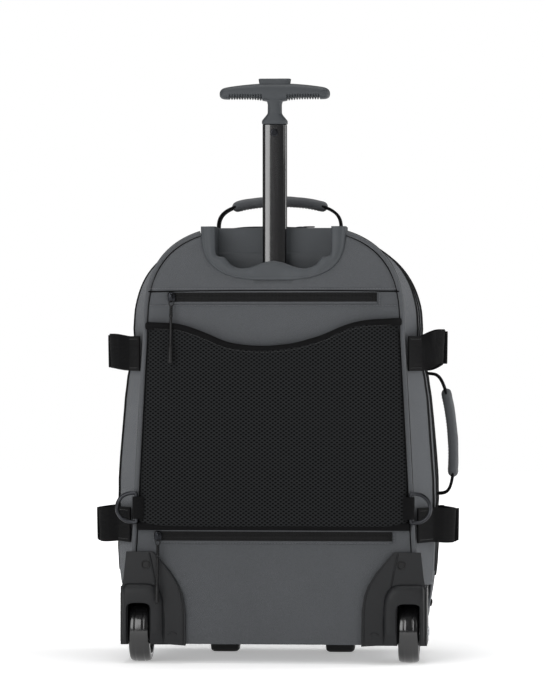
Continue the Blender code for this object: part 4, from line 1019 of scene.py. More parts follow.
def strap_line(z, reach):
    """(x, y) line of a compression strap: along the flare from the piping, out in a loose loop, back to its buckle."""
    y = np.array([0.003, 0.012, 0.022, 0.032])
    lean = np.cos(np.pi / 2 * y / FLARE_DEPTH)
    x = strap_half(y, z) + 0.0019 + 0.0012 * lean
    first = np.stack([x, y - 0.0008 * lean], axis=1)
    end = strap_half(FLARE_DEPTH, z) + 0.0019
    share = np.arange(1, 8) / 8
    base = first[-1, 0] + (end - first[-1, 0]) * share
    loop = np.stack([base + (reach - 0.001 - base) * np.sin(np.pi * share) ** 0.8, first[-1, 1] + 0.044 * share],
                    axis=1)
    return np.concatenate([first, loop, [[end, 0.079], [end, 0.0837]]])


def add_straps():
    """Four webbing straps with a loose loop, each with a tail folded back and two rows of stitches along the end
    that is sewn in at the piping."""
    for place, z, reach in (("upper", 0.354, 0.194), ("lower", 0.158, 0.2068)):
        for name, side in SIDES:
            flat = strap_line(z, reach)
            path = np.stack([side * flat[:, 0], flat[:, 1], 0 * flat[:, 0] + z], axis=1)
            path = evenly(path, 70, 2)
            travelled = lengths(path[None], 1)[0]
            lean = ease(travelled, 0.030, 0.055) * ease(-travelled, -0.098, -0.070)
            path[:, 2] += (0.0055 + 0.0025 * side if place == "upper" else -0.0016) * lean
            upright = np.stack([side * 0.055 * lean, 0 * lean, 1 - 0 * lean], axis=1)
            strap = tube_sheets(path, oval(0.020, 0.0010, 7, 28), upright)
            tail = path[26:52] + np.stack([side * (0.0032 + 0.0016 * np.sin(np.linspace(0, 9, 26))),
                                           0 * np.arange(26.0), 0 * np.arange(26.0)], axis=1)
            tail = np.concatenate([tail, tail[-1:] + (side * 0.004, 0.003, 0)])
            tail[:, 0] -= side * 0.0042 * ease(np.arange(27.0), -1, 6)[::-1]
            strap += tube_sheets(evenly(tail, 40, 2), oval(0.0188, 0.0009, 7, 24), (side * 0.05, 0, 1))
            fold = path[46:53] + (side * 0.0012, 0, 0)
            strap += tube_sheets(fold, oval(0.0194, 0.0021, 4, 24), (0, 0, 1))
            cloth_mesh(f"webbing_{place}_{name}", strap, webbing(), "root", [f"strap_{place}_{name}"])
            patch = []
            for shift in (-0.0165, 0.0165):
                patch += stitches(path[2:22] + (side * 0.0011, -0.0006, shift), (side, -0.4, 0), 0.0032, 0.0003)
            cloth_mesh(f"strap_stitching_{place}_{name}", patch, black_thread(), "root")


def add_buckles():
    """Side-release buckles: waisted superellipse bodies with a pressed window, three prongs and grip ridges."""
    for place, z in (("upper", 0.354), ("lower", 0.158)):
        inner = float(strap_half(FLARE_DEPTH, z)) + 0.0007
        for name, side in SIDES:
            y = np.linspace(0.084, 0.108, 26)
            share = (y - 0.084) / 0.024
            closing = np.sqrt(np.clip(1 - np.abs(2 * share - 1) ** 12, 0.15, 1))
            thick = 0.0045 * (0.82 + 0.18 * np.sin(np.pi * share) ** 0.6) * closing
            high = 0.0190 - 0.0022 * bell(share, 0.55, 0.22)
            ring = oval(high, thick, 5, 40)
            window = bell(share, 0.60, 0.16)[:, None] * bell(ring[..., 0], 0, 0.006) * 0.0009
            x = side * (inner + 0.0045 + ring[..., 1] * (1 - window / np.maximum(np.abs(ring[..., 1]), 1e-4)))
            points = np.stack([x, y[:, None] * np.ones_like(x), z + ring[..., 0]], axis=2)
            socket = [sheet(points), cap(points[0]), cap(points[-1])]
            cloth_mesh(f"buckle_socket_{place}_{name}", socket, fitting_plastic(), "root",
                       [f"buckle_{place}_{name}"])
            y = np.linspace(0.1084, 0.1220, 30)
            share = (y - 0.1084) / 0.0136
            ridges = 0.00022 * np.cos(share * 2 * np.pi * 5) * ease(share, 0.2, 0.4)
            thick = (0.0044 - 0.0012 * share + ridges) * np.sqrt(np.clip(1 - np.abs(2 * share - 1) ** 14, 0.15, 1))
            ring = oval(0.0190 - 0.0008 * share, thick, 5, 40)
            x = side * (inner + 0.0045 + ring[..., 1])
            points = np.stack([x, y[:, None] * np.ones_like(x), z + ring[..., 0]], axis=2)
            plug = [sheet(points), cap(points[0]), cap(points[-1])]
            middle = side * (inner + 0.0045)
            for at in (-0.011, 0.0, 0.011):
                prong = np.array([[middle, 0.0890, z + at * 0.86], [middle, 0.1000, z + at], [middle, 0.1095, z + at]])
                plug += tube_sheets(evenly(prong, 14, 1), oval(0.0022 if at else 0.0015, 0.0016, 4, 14), (0, 0, 1))
            cloth_mesh(f"buckle_plug_{place}_{name}", plug, fitting_plastic(), f"buckle_plug_{place}_{name}",
                       [f"plug_{place}_{name}"])  # fmt: skip


def add_rings():
    """Wire D-rings: a straight bar and a round bow in one plane, and the ribbon folded round each bar."""
    for name, side in SIDES:
        x, y, z, half = side * 0.157, -0.0062, 0.178, 0.0168
        angle = np.linspace(0, np.pi, 50)
        bow = np.stack([x + side * 0.022 * np.sin(angle) ** 0.78, 0 * angle + y, z + half * np.cos(angle)], axis=1)
        bar = np.stack([0 * angle[:20] + x, 0 * angle[:20] + y, np.linspace(z - half, z + half, 20)], axis=1)
        line = evenly(np.concatenate([bow, bar[1:]]), 130, 1)
        line[-1] = line[0]
        wire = sizes().ring_wire
        cloth_mesh(f"ring_wire_{name}", tube_sheets(line, oval(wire, wire, 2, 16), (0, 1, 0), loop=True), gunmetal(),
                   f"ring_{name}", [f"d_ring_{name}"])  # fmt: skip
        turn = np.linspace(-0.5 * np.pi, 0.5 * np.pi, 16)
        round_bar = np.stack([x + side * 0.0033 * np.cos(turn), y + 0.0033 * np.sin(turn)], axis=1)
        into = np.array([[x - side * 0.0085, y - 0.0012], [x - side * 0.0050, y - 0.0026]])
        back = np.array([[x - side * 0.0030, y + 0.0036], [x - side * 0.0085, y + 0.0042]])
        flat = np.concatenate([into, round_bar, back])
        path = evenly(np.stack([flat[:, 0], flat[:, 1], 0 * flat[:, 0] + z], axis=1), 44, 1)
        tab = tube_sheets(path, oval(0.0128, 0.0009, 6, 24), (0, 0, 1))
        cloth_mesh(f"ring_webbing_{name}", tab, webbing(), "root", [f"ring_tab_{name}"])


# ---------------------------------------------------------------- wheels


def add_housings():
    """Corner guards: the moulded plate and well of the frame with rounded edges, and on them the raised fender
    that arches over the wheel, the thin rim line, the small eyebrow of the flank and the cross-hole, a shallow
    dish of black plastic painted as the shade inside the hole."""
    for name, side in SIDES:
        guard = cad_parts[f"wheel_housing_{name}"]
        soften(guard, housing_plastic(), 0.0011)
        leg = np.linspace(0.0225, 0.0560, 20)[:-1]
        turn = np.linspace(0, np.pi, 60)
        arch_x = 0.0139 * np.sign(np.cos(turn)) * np.abs(np.cos(turn)) ** 0.5
        arch_z = 0.0560 + 0.0136 * np.sin(turn) ** 0.5
        slot_x = np.concatenate([0 * leg + 0.0139, arch_x, 0 * leg - 0.0139])
        slot_z = np.concatenate([leg, arch_z, leg[::-1]])
        outline = np.array([(0.0186, 0.0560), (0.0186, 0.0880), (0.0160, 0.0915), (-0.0120, 0.0915),
                            (-0.0200, 0.0888), (-0.0255, 0.0820),
                            (-0.0280, 0.0730), (-0.0285, 0.0560)])  # fmt: skip
        outline = evenly(np.stack([outline[:, 0], 0 * outline[:, 0], outline[:, 1]], axis=1), 60, 2)
        edge_x = np.concatenate([0 * leg + 0.0186, outline[:, 0], 0 * leg - 0.0285])
        edge_z = np.concatenate([leg, outline[:, 2], leg[::-1]])
        high = 0.0062 * (0.35 + 0.65 * ease(slot_z, 0.0225, 0.036)) + 0.0014 * ease(edge_z, 0.06, 0.085)
        share = np.linspace(0, 1, 22)
        across = np.concatenate([[0.0, 0.0], 0.06 + 0.94 * share, [1.0, 0.0]])
        lift = np.concatenate([[-0.25, 0.86], (1 - share**4) ** 0.6, [-0.25, -0.25]])
        middle = np.stack([side * (0.154 + slot_x), 0 * slot_x - 0.006, slot_z], axis=1)
        edge = np.stack([side * (0.154 + edge_x), 0 * edge_x - 0.006, edge_z], axis=1)
        points = middle[:, None] + (edge - middle)[:, None] * across[:, None]
        points[..., 1] -= high[:, None] * lift
        fender = [sheet(points), cap(points[0]), cap(points[-1])]
        line = np.array([(0.1370, 0.1268), (0.1325, 0.1215), (0.1245, 0.1120), (0.1168, 0.1020), (0.1105, 0.0915),
                         (0.1065, 0.0810),
                         (0.1040, 0.0690), (0.1030, 0.0540), (0.1030, 0.0240)])  # fmt: skip
        rim = evenly(np.stack([side * line[:, 0], 0 * line[:, 0] - 0.0062, line[:, 1]], axis=1), 90, 3)
        fender += tube_sheets(rim, oval(0.0009, 0.0008, 2, 8), (0, 1, 0))
        band = np.array([(0.1420, 0.1262), (0.1395, 0.1150), (0.1368, 0.1020), (0.1345, 0.0900), (0.1300, 0.0780),
                         (0.1262, 0.0640),
                         (0.1250, 0.0480), (0.1258, 0.0250)])  # fmt: skip
        band = evenly(np.stack([side * band[:, 0], 0 * band[:, 0] - 0.0060, band[:, 1]], axis=1), 90, 3)
        fender += tube_sheets(band, oval(0.0013, 0.0010, 2, 10), (0, 1, 0))
        brow = np.linspace(0, np.pi, 16)
        brow = np.stack([side * (0.1155 + 0.0042 * np.cos(brow)), 0 * brow - 0.0062, 0.0335 + 0.0022 * np.sin(brow)],
                        axis=1)
        fender += tube_sheets(brow, oval(0.0008, 0.0008, 2, 8), (0, 1, 0))
        cloth_mesh(f"wheel_fender_{name}", fender, housing_plastic(), "root")
        # painted shade: the cross-hole is a shallow dish in black plastic that stands in for the shade inside the hole
        hole = turned([(0.0052, 0.0), (0.0052, -0.0006), (0.0046, -0.0010), (0.0038, -0.0008), (0.0034, -0.0001),
                       (0, -0.0001)],
                      (side * 0.1460, -0.0060, 0.1129), "Y", 32)  # fmt: skip
        back = turned([(0.0052, 0.0), (0, 0.0)], (side * 0.1460, -0.0060, 0.1129), "Y", 32)
        cloth_mesh(f"housing_hole_shade_{name}", [sheet(hole), sheet(back)], fitting_plastic(), "root")


def add_wheels():
    """Cast tyres with a crowned, lightly grooved tread and rounded shoulders, on dished hubs with six ribs."""
    for name, side in SIDES:
        centre = (side * 0.154, 0.027, 0.036)
        angle = np.linspace(-np.pi / 2, np.pi / 2, 60)
        tread_x = 0.012 * np.sign(np.sin(angle)) * np.abs(np.sin(angle)) ** 0.62
        tread_r = 0.0298 + 0.0062 * np.abs(np.cos(angle)) ** 0.42
        groove = bell(tread_x, -0.0048, 0.0007) + bell(tread_x, 0.0048, 0.0007)
        tread = np.stack([tread_r - 0.0005 * groove, tread_x], axis=1)
        inside = np.array([(0.0280, 0.0120), (0.0263, 0.0112), (0.0263, -0.0112), (0.0280, -0.0120)])
        profile = np.concatenate([tread, inside, tread[:1]])
        tyre = turned(profile, centre, "X", 96)
        cloth_mesh(f"wheel_tyre_{name}", [sheet(tyre)], tyre_rubber(), f"wheel_{name}",
                   [f"tyre_{name}"])
        hub = np.array([(0.0113, -0.0110), (0.0150, -0.0104), (0.0165, -0.0070), (0.0225, -0.0070), (0.0240, -0.0104),
                        (0.0260, -0.0110),
                        (0.0260, 0.0110), (0.0240, 0.0104), (0.0225, 0.0070), (0.0165, 0.0070), (0.0150, 0.0104),
                        (0.0113, 0.0110),
                        (0.0113, -0.0110)])  # fmt: skip
        disc = [sheet(turned(hub, centre, "X", 72))]
        for turn in np.arange(6) * np.pi / 3:
            radial = np.array([0.0, np.cos(turn), np.sin(turn)])
            reach = np.linspace(0.0150, 0.0242, 8)[:, None]
            disc += tube_sheets(np.array(centre) + radial * reach, oval(0.0100, 0.0014, 5, 16), (1, 0, 0))
        cloth_mesh(f"wheel_hub_{name}", disc, hub_plastic(), f"wheel_{name}", [f"hub_{name}"])


def soften(node, finish, radius=0.0):
    """Give a frame node its finish, and round its edges with a Weld and a Bevel."""
    node.data.materials.clear()
    node.data.materials.append(finish)
    if not node.data.uv_layers:
        node.data.uv_layers.new(name="metres")
    if radius:
        weld = node.modifiers.new("weld", "WELD")
        weld.merge_threshold = 1e-5
        edge = node.modifiers.new("edges", "BEVEL")
        edge.width = radius
        edge.segments = 3
        edge.limit_method = "ANGLE"
        edge.angle_limit = math.radians(40)
        edge.harden_normals = True
        edge.use_clamp_overlap = True


def add_foot():
    """Moulded foot under the base: two pads with round corners and rounded lower edges."""
    sheets = []
    for side in (-1, 1):
        rise = np.linspace(0, 1, 24)
        z = 0.0216 * (1 - rise)
        draft = 0.0018 * rise + 0.0030 * (1 - np.sqrt(np.clip(1 - ease(rise, 0.80, 1.0) ** 2, 0, 1)))
        ring = oval(0.0185 - draft, 0.0139 - draft, 6, 48)
        points = np.stack([side * 0.0685 + ring[..., 0], 0.164 + ring[..., 1],
                           z[:, None] * np.ones_like(ring[..., 0])], axis=2)
        sheets += [sheet(points), cap(points[0]), cap(points[-1])]
    bar = np.stack([np.linspace(-0.0850, 0.0850, 30), 0 * np.arange(30.0) + 0.164, 0 * np.arange(30.0) + 0.0200],
                   axis=1)
    sheets += tube_sheets(bar, oval(0.0135, 0.0013, 6, 32), (0, 1, 0))
    cloth_mesh("base_foot", sheets, fitting_plastic(), "root", ["front_foot"])


# ---------------------------------------------------------------- tray and trolley


def spread(x, z, count=201):
    """The same line in the plane of the panel with points at equal distances."""
    line = evenly(np.stack([x, 0 * x, z], axis=1), count)
    return line[:, 0], line[:, 2]


def bowl(half, low, power=3.0):
    """A deep bowl's line from its left rim to its right one: |x/half|^power + |(top - z)/depth|^power = 1."""
    angle = np.linspace(0, np.pi, 600)
    x = -half * np.sign(np.cos(angle)) * np.abs(np.cos(angle)) ** (2 / power)
    return spread(x, TOP_Z - (TOP_Z - low) * np.abs(np.sin(angle)) ** (2 / power))


LIP = np.array([
    (0.0660, 0.4990), (0.0660, 0.4700), (0.0648, 0.4662), (0.0620, 0.4648), (0.0560, 0.4642), (0.0530, 0.4610),
    (0.0490, 0.4558),
    (0.0430, 0.4524), (0.0365, 0.4510), (0.0280, 0.4518), (0.0200, 0.4545), (0.0100, 0.4583), (0.0, 0.4600),
])  # fmt: skip


def lip():
    """The recess's rear edge: straight sides, a step inwards, two scoops for the fingers and a crest between."""
    right = evenly(np.stack([LIP[:, 0], 0 * LIP[:, 0], LIP[:, 1]], axis=1), 400, 6)
    whole = np.concatenate([right * (-1, 1, 1), right[::-1][1:]])
    return spread(whole[:, 0], whole[:, 2])


def add_tray():
    """The moulded tray: a profile from its outer bowl over a rounded rim to the waved lip of the recess, down
    behind the lip, over the floor and up the front wall, which has a narrow ledge."""
    outer, middle, recess, edge = bowl(0.0830, 0.4376), bowl(0.0745, 0.4403), bowl(0.0660, 0.4430, 7.0), lip()
    rows = []

    def row(line, y):
        rows.append(np.stack([line[0], np.broadcast_to(y, line[0].shape), line[1]], axis=1))

    def toward(start, end, share):
        return [a + (b - a) * share for a, b in zip(start, end)]

    row(outer, 0.0385)
    row(outer, 0.0)
    for angle in np.radians([0, 22, 45, 68, 90]):
        row(toward(outer, middle, 0.32 * (1 - math.cos(angle))), -0.0025 - 0.0036 * math.sin(angle))
    for share in (0.16, 0.22, 0.30, 0.40, 0.52, 0.64, 0.76, 0.86):
        groove = 0.0006 * math.exp(-(((share - 0.26) / 0.05) ** 2))
        crown = 0.0012 * math.sin(math.pi * (share - 0.3) / 0.6) * (share > 0.3)
        row(toward(outer, edge, share), -0.0061 + groove - crown)
    for angle in np.radians([30, 60, 90, 120, 150, 180]):
        row(toward(outer, edge, 0.93 + 0.07 * math.sin(angle / 2)), -0.0040 - 0.0020 * math.cos(angle))
    row(toward(edge, recess, 0.5), -0.0018)
    for y in (-0.0015, 0.0, 0.006, 0.014, 0.022, 0.030, 0.0332):
        row(recess, y)
    for level, y in ((0.4600, 0.0332), (0.4685, 0.0333), (0.4696, 0.0338), (0.4699, 0.0346), (0.4705, 0.0352),
                     (0.4975, 0.0352), (0.4985, 0.0358)):
        row((recess[0] * 0.997, np.maximum(recess[1], level)), y)
    rim = (outer[0], 0 * outer[0] + TOP_Z - 0.0005)
    row(rim, 0.0385)
    points = np.stack(rows + rows[:1])
    shell = cloth_mesh("tray_shell", [sheet(points), cap(points[:, 0]), cap(points[:, -1])], tray_plastic(), "root",
                       ["handle_tray"], crease=50)  # fmt: skip
    cut_block(shell, (-0.0158, 0.0105, 0.430), (0.0158, 0.0345, 0.4445))


def cut_block(made, low, high):
    """Cut a block between two corners out of a closed piece."""
    shape = bmesh.new()
    bmesh.ops.create_cube(shape, size=1.0)
    low, high = np.array(low) + (0, REAR, 0), np.array(high) + (0, REAR, 0)
    for vert in shape.verts:
        vert.co = (low + high) / 2 + np.array(vert.co) * (high - low)
    cutter = bpy.data.objects.new("cutter", bpy.data.meshes.new("cutter"))
    shape.to_mesh(cutter.data)
    shape.free()
    bpy.context.scene.collection.objects.link(cutter)
    cut = made.modifiers.new("hole", "BOOLEAN")
    cut.solver = "EXACT"
    cut.object = cutter
    result = made.evaluated_get(bpy.context.evaluated_depsgraph_get())
    made.data = bpy.data.meshes.new_from_object(result)
    made.modifiers.clear()
    bpy.data.objects.remove(cutter)


def rounded_tube(stage, inset=0.0, count=96):
    """Outline of a telescoping tube: a superellipse close to a rectangle with round corners."""
    width, depth = 0.028 + 0.0032 * stage, 0.018 + 0.0032 * stage
    return oval(width / 2 - inset, depth / 2 - inset, 4.0, count)


def tube_piece(stage, low, high):
    """Outer wall, rolled top and bottom rims and inner wall of a tube."""
    outer, inner = rounded_tube(stage), rounded_tube(stage, 0.0012)
    middle = (outer + inner) / 2
    wall = 0.0006
    rings = [(inner, low + wall), (middle, low), (outer, low + wall)]
    rings += [(outer, low + (high - low) * s) for s in (0.02, 0.25, 0.5, 0.75, 0.98)]
    rings += [(outer, high - wall), (middle, high), (inner, high - wall), (inner, low + wall)]
    points = np.stack([np.stack([r[:, 0], 0.022 + r[:, 1], 0 * r[:, 0] + z], axis=1) for r, z in rings])
    return sheet(points)


def add_trolley():
    """The three telescoping tubes with rolled rims, and the finish of what moves inside them."""
    z0, z1 = (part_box("upper_tube")[i].z for i in (0, 1))
    cloth_mesh("upper_stage_tube", [tube_piece(0, z0, z1)], black_tube(), "upper_stage", ["upper_tube"])
    z0, z1 = (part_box("outer_tube")[i].z for i in (0, 1))
    cloth_mesh("fixed_tube", [tube_piece(2, z0, z1)], black_tube(), "root", ["outer_tube"])
    soften(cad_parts["middle_tube"], black_tube(), 0.0003)
    for node in ("middle_foot", "upper_lock", "guide_bush"):
        soften(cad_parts[node], fitting_plastic(), 0.0005)
    for node in ("lock_pin", "push_rod", "button_spring"):
        soften(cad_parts[node], steel())


def add_grip():
    """The T-handle: a superellipse bar, crowned above and ribbed below in two groups, whose middle runs down in a
    waisted neck to a flared collar; a button let into the crown; a screw whose head has a round recess."""
    bar_z, y0 = 0.6515, 0.022
    u = 0.2 * np.sin(np.linspace(-np.pi / 2, np.pi / 2, 701)) + 0.8 * np.linspace(-1, 1, 701)
    x = 0.0635 * u
    end = np.sqrt(np.clip(1 - np.abs(u) ** 26, 0, 1))
    crown = 0.0066 + 0.0058 * (1 - np.abs(u) ** 2.0)
    under = 0.0060 + 0.0035 * bell(x, 0, 0.016)
    deep = 0.0120 * (0.90 + 0.10 * (1 - u**2))
    ribs = sizes().grip_rib
    inside = ease(np.abs(x), 0.0135, 0.0150) * ease(-np.abs(x), -0.0530, -0.0515)
    angle = np.linspace(0, 2 * np.pi, 65)
    cosine, sine = np.cos(angle), np.sin(angle)
    power = 2 / 2.7
    lift = np.sign(sine) * np.abs(sine) ** power
    across = np.sign(cosine) * np.abs(cosine) ** power
    wave = ease(np.cos(2 * np.pi * x / ribs), -0.5, 0.4) * inside
    z = np.where(lift > 0, lift * crown[:, None], lift * (under - 0.0020 * wave)[:, None]) * end[:, None]
    y = across * deep[:, None] * end[:, None]
    y = y * (1 - 0.16 * wave[:, None] * ease(-lift, 0.12, 0.3))
    bar = np.stack([x[:, None] * np.ones_like(z), y0 + y, bar_z + z], axis=2)
    parts = [sheet(bar), cap(bar[0]), cap(bar[-1])]
    neck_form = np.array([
        (0.6167, 0.0140, 0.0098), (0.6173, 0.0147, 0.0106), (0.6206, 0.0147, 0.0107), (0.6216, 0.0141, 0.0105),
        (0.6282, 0.0087, 0.0096),
        (0.6300, 0.0081, 0.0095), (0.6395, 0.0080, 0.0095), (0.6430, 0.0090, 0.0097), (0.6455, 0.0112, 0.0100),
        (0.6477, 0.0155, 0.0101),
    ])  # fmt: skip
    height = np.linspace(0.6167, 0.6477, 80)
    half_x, half_y = (np.interp(height, neck_form[:, 0], neck_form[:, i]) for i in (1, 2))
    ring = oval(half_x, half_y, 3.4, 56)
    neck = np.stack([ring[..., 0], y0 + ring[..., 1], height[:, None] * np.ones_like(ring[..., 0])], axis=2)
    parts += [sheet(neck), cap(neck[0]), cap(neck[-1])]
    height = np.array([0.5955, 0.6175])
    ring = oval(np.full(2, 0.0125), np.full(2, 0.0076), 5, 40)
    spigot = np.stack([ring[..., 0], y0 + ring[..., 1], height[:, None] * np.ones_like(ring[..., 0])], axis=2)
    parts += [sheet(spigot), cap(spigot[0]), cap(spigot[-1])]
    cloth_mesh("t_grip", parts, grip_plastic(), "upper_stage", ["grip"])
    rise = np.linspace(0, 1, 40)
    round_top = np.sqrt(np.clip(1 - ease(rise, 0.92, 1.0) ** 2 * 0.12, 0, 1))
    ring = oval((0.0176 + 0.0010 * rise) * round_top, (0.0070 - 0.0004 * rise) * round_top, 7, 64)
    height = 0.6628 + 0.0062 * rise
    button = np.stack([ring[..., 0], y0 + ring[..., 1], height[:, None] * np.ones_like(ring[..., 0])], axis=2)
    cloth_mesh("grip_button", [sheet(button), cap(button[0]), cap(button[-1])], grip_plastic(), "button",
               ["release_button"])
    screw = np.array([(0.0, 0.0), (0.0045, 0.0), (0.0045, -0.0005), (0.0040, -0.0010), (0.0031, -0.0011),
                      (0.0028, -0.0006), (0.0, -0.0006)])
    head_points = turned(screw, (0, 0.0127, 0.6070), "Y", 40)
    shank = turned([(0.0, 0.0), (0.0015, 0.0), (0.0015, 0.0048), (0.0, 0.0048)], (0, 0.0127, 0.6070), "Y", 20)
    cloth_mesh("grip_screw_head", [sheet(head_points), sheet(shank)], black_metal(), "upper_stage",
               ["grip_screw"])


# ---------------------------------------------------------------- handles


def padded_handle(name, path, upright, body, replaced, full, thick, reach):
    """A handle: webbing that runs its whole length and a wrapped pad on its middle, full in the middle,
    gathered in small folds at both ends, with a stitched seam along it."""
    path = evenly(path, 120, 3)
    travelled = lengths(path[None], 1)[0]
    whole = travelled[-1]
    ends = tube_sheets(path, oval(0.0125, 0.0018, 5, 24), upright)
    ribbon = cloth_mesh(f"{name}_webbing", ends, webbing(), None)
    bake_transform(ribbon)
    keep = (travelled > reach[0] * whole) & (travelled < reach[1] * whole)
    line = evenly(path[keep], 90)
    share = np.linspace(0, 1, 90)
    dome = np.sqrt(np.clip(1 - np.abs(2 * share - 1) ** 26, 0.16, 1))
    rings = oval(full * dome, thick * dome, 2.6, 40)
    pad = carried(line, rings, upright)
    gathered = (bell(share, 0.06, 0.05) + bell(share, 0.94, 0.05))[:, None]
    folds = gathered * np.cos(pad[..., 1] / 0.0016 + pad[..., 2] / 0.0031) * 0.00045
    creases = ripple(pad, 0.020, 41) * 0.00045
    middle = line[:, None]
    pad = pad + unit(pad - middle) * (folds + creases)[..., None]
    made = cloth_mesh(f"{name}_pad", [sheet(pad), cap(pad[0]), cap(pad[-1])], body_fabric(), body,
                      replaced)
    across = unit(np.cross(unit(np.gradient(line, axis=0)), np.broadcast_to(np.asarray(upright, float), line.shape)))
    seam = line + across * (thick * dome)[:, None]
    cloth_mesh(f"{name}_seam", stitches(seam[6:-6], across[6:-6], 0.0036, 0.0004), thread(), body)


def add_handles():
    """The carry handle on top and the grab handle on the right side."""
    foot = 0.4965
    angle = np.linspace(0, np.pi, 80)
    rise = np.sin(angle) ** 0.55
    top = np.stack([0.072 * np.cos(angle), 0 * angle + 0.108, foot + 0.0355 * rise], axis=1)
    padded_handle("carry_handle", top, (0, 1, 0), "carry_handle", ["top_handle"], 0.0135, 0.0060, (0.19, 0.81))  # fmt: skip
    z = np.linspace(0.191, 0.331, 140)
    share = (z - 0.191) / 0.140
    foot_x, head_x = side_half(0.197), side_half(0.327)
    x = foot_x + (head_x - foot_x) * share - 0.001 + 0.0255 * np.sin(np.pi * share) ** 0.22
    side = np.stack([x, 0 * x + 0.090, z], axis=1)
    padded_handle("grab_handle", side, (0, 1, 0), "grab_handle", ["side_handle"], 0.0130, 0.0058, (0.19, 0.81))  # fmt: skip


def add_door_slider():
    """The long zip's slider and its flat pull on top of the case."""
    x0, y0, z0 = 0.027, 0.132, 0.4995
    rise = np.linspace(0, 1, 10)
    ring = oval(0.0075 - 0.001 * rise**2, 0.0040 - 0.0008 * rise**2, 3.2,
                28) * np.sqrt(np.clip(1 - rise**6, 0.03, 1))[:, None, None]
    points = np.stack([x0 - 0.004 + ring[..., 0], y0 + ring[..., 1],
                       (z0 + 0.0042 * rise)[:, None] * np.ones_like(ring[..., 0])], axis=2)
    parts = [sheet(points), cap(points[0]), cap(points[-1])]
    t = np.linspace(0, 2 * np.pi, 41)
    link = np.stack([x0 + 0.0058 + 0.0062 * np.cos(t), y0 + 0.0031 * np.sin(t), 0 * t + z0 + 0.0036], axis=1)
    parts += tube_sheets(link, oval(0.0008, 0.0008, 2, 10), (0, 0, 1), loop=True)
    cloth_mesh("top_zip_slider", parts, black_metal(), "door_zip_slider", ["door_slider"])


def add_inside():
    """What the open door shows: frame sheet, base board, padded laptop sleeve and the two stowed straps."""
    soften(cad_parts["frame_sheet"], board_plastic())
    soften(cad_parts["base_board"], board_plastic(), 0.0006)
    for name, _ in SIDES:
        soften(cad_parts[f"axle_{name}"], steel())
        for place in ("inner", "outer"):
            soften(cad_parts[f"bearing_{place}_{name}"], steel())
    low, high = (np.array(corner) - (0, REAR, 0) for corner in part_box("laptop_sleeve"))
    u, v = np.meshgrid(np.linspace(0, 1, 90), np.linspace(0, 1, 90))
    x, z = low[0] + (high[0] - low[0]) * u, low[2] + (high[2] - low[2]) * v
    edge = np.clip(1 - np.abs(2 * u - 1) ** 10, 0, 1) * np.clip(1 - np.abs(2 * v - 1) ** 10, 0, 1)
    quilt = 0.0012 * bell(np.mod(u * 6, 1), 0.5, 0.09)
    front = np.stack([x, low[1] + 0.004 + (high[1] - low[1] - 0.004) * edge**0.4 - quilt * edge, z], axis=2)
    rear = np.stack([x, 0 * x + low[1], z], axis=2)
    rim = [np.stack([front[0], rear[0]]), np.stack([front[-1], rear[-1]]), np.stack([front[:, 0], rear[:, 0]]),
           np.stack([front[:, -1], rear[:, -1]])]
    sleeve = cloth_mesh("sleeve_pad", [sheet(front), sheet(rear)] + [sheet(r) for r in rim], lining_fabric(), "root",
                        ["laptop_sleeve"])
    for name, _ in SIDES:
        low, high = (np.array(corner) - (0, REAR, 0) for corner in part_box(f"shoulder_strap_{name}"))
        v = np.linspace(0, 1, 80)
        dome = np.sqrt(np.clip(1 - np.abs(2 * v - 1) ** 14, 0.01, 1))
        path = np.stack([0 * v + (low[0] + high[0]) / 2, 0 * v + (low[1] + high[1]) / 2,
                         low[2] + (high[2] - low[2]) * v], axis=1)
        section = oval((high[0] - low[0]) / 2 * dome, (high[1] - low[1]) / 2 * dome, 3.0, 40)
        strap = cloth_mesh(f"stowed_strap_{name}", tube_sheets(path, section, (1, 0, 0)), lining_fabric(), "root",
                           [f"shoulder_strap_{name}"])  # fmt: skip


# ---------------------------------------------------------------- stage


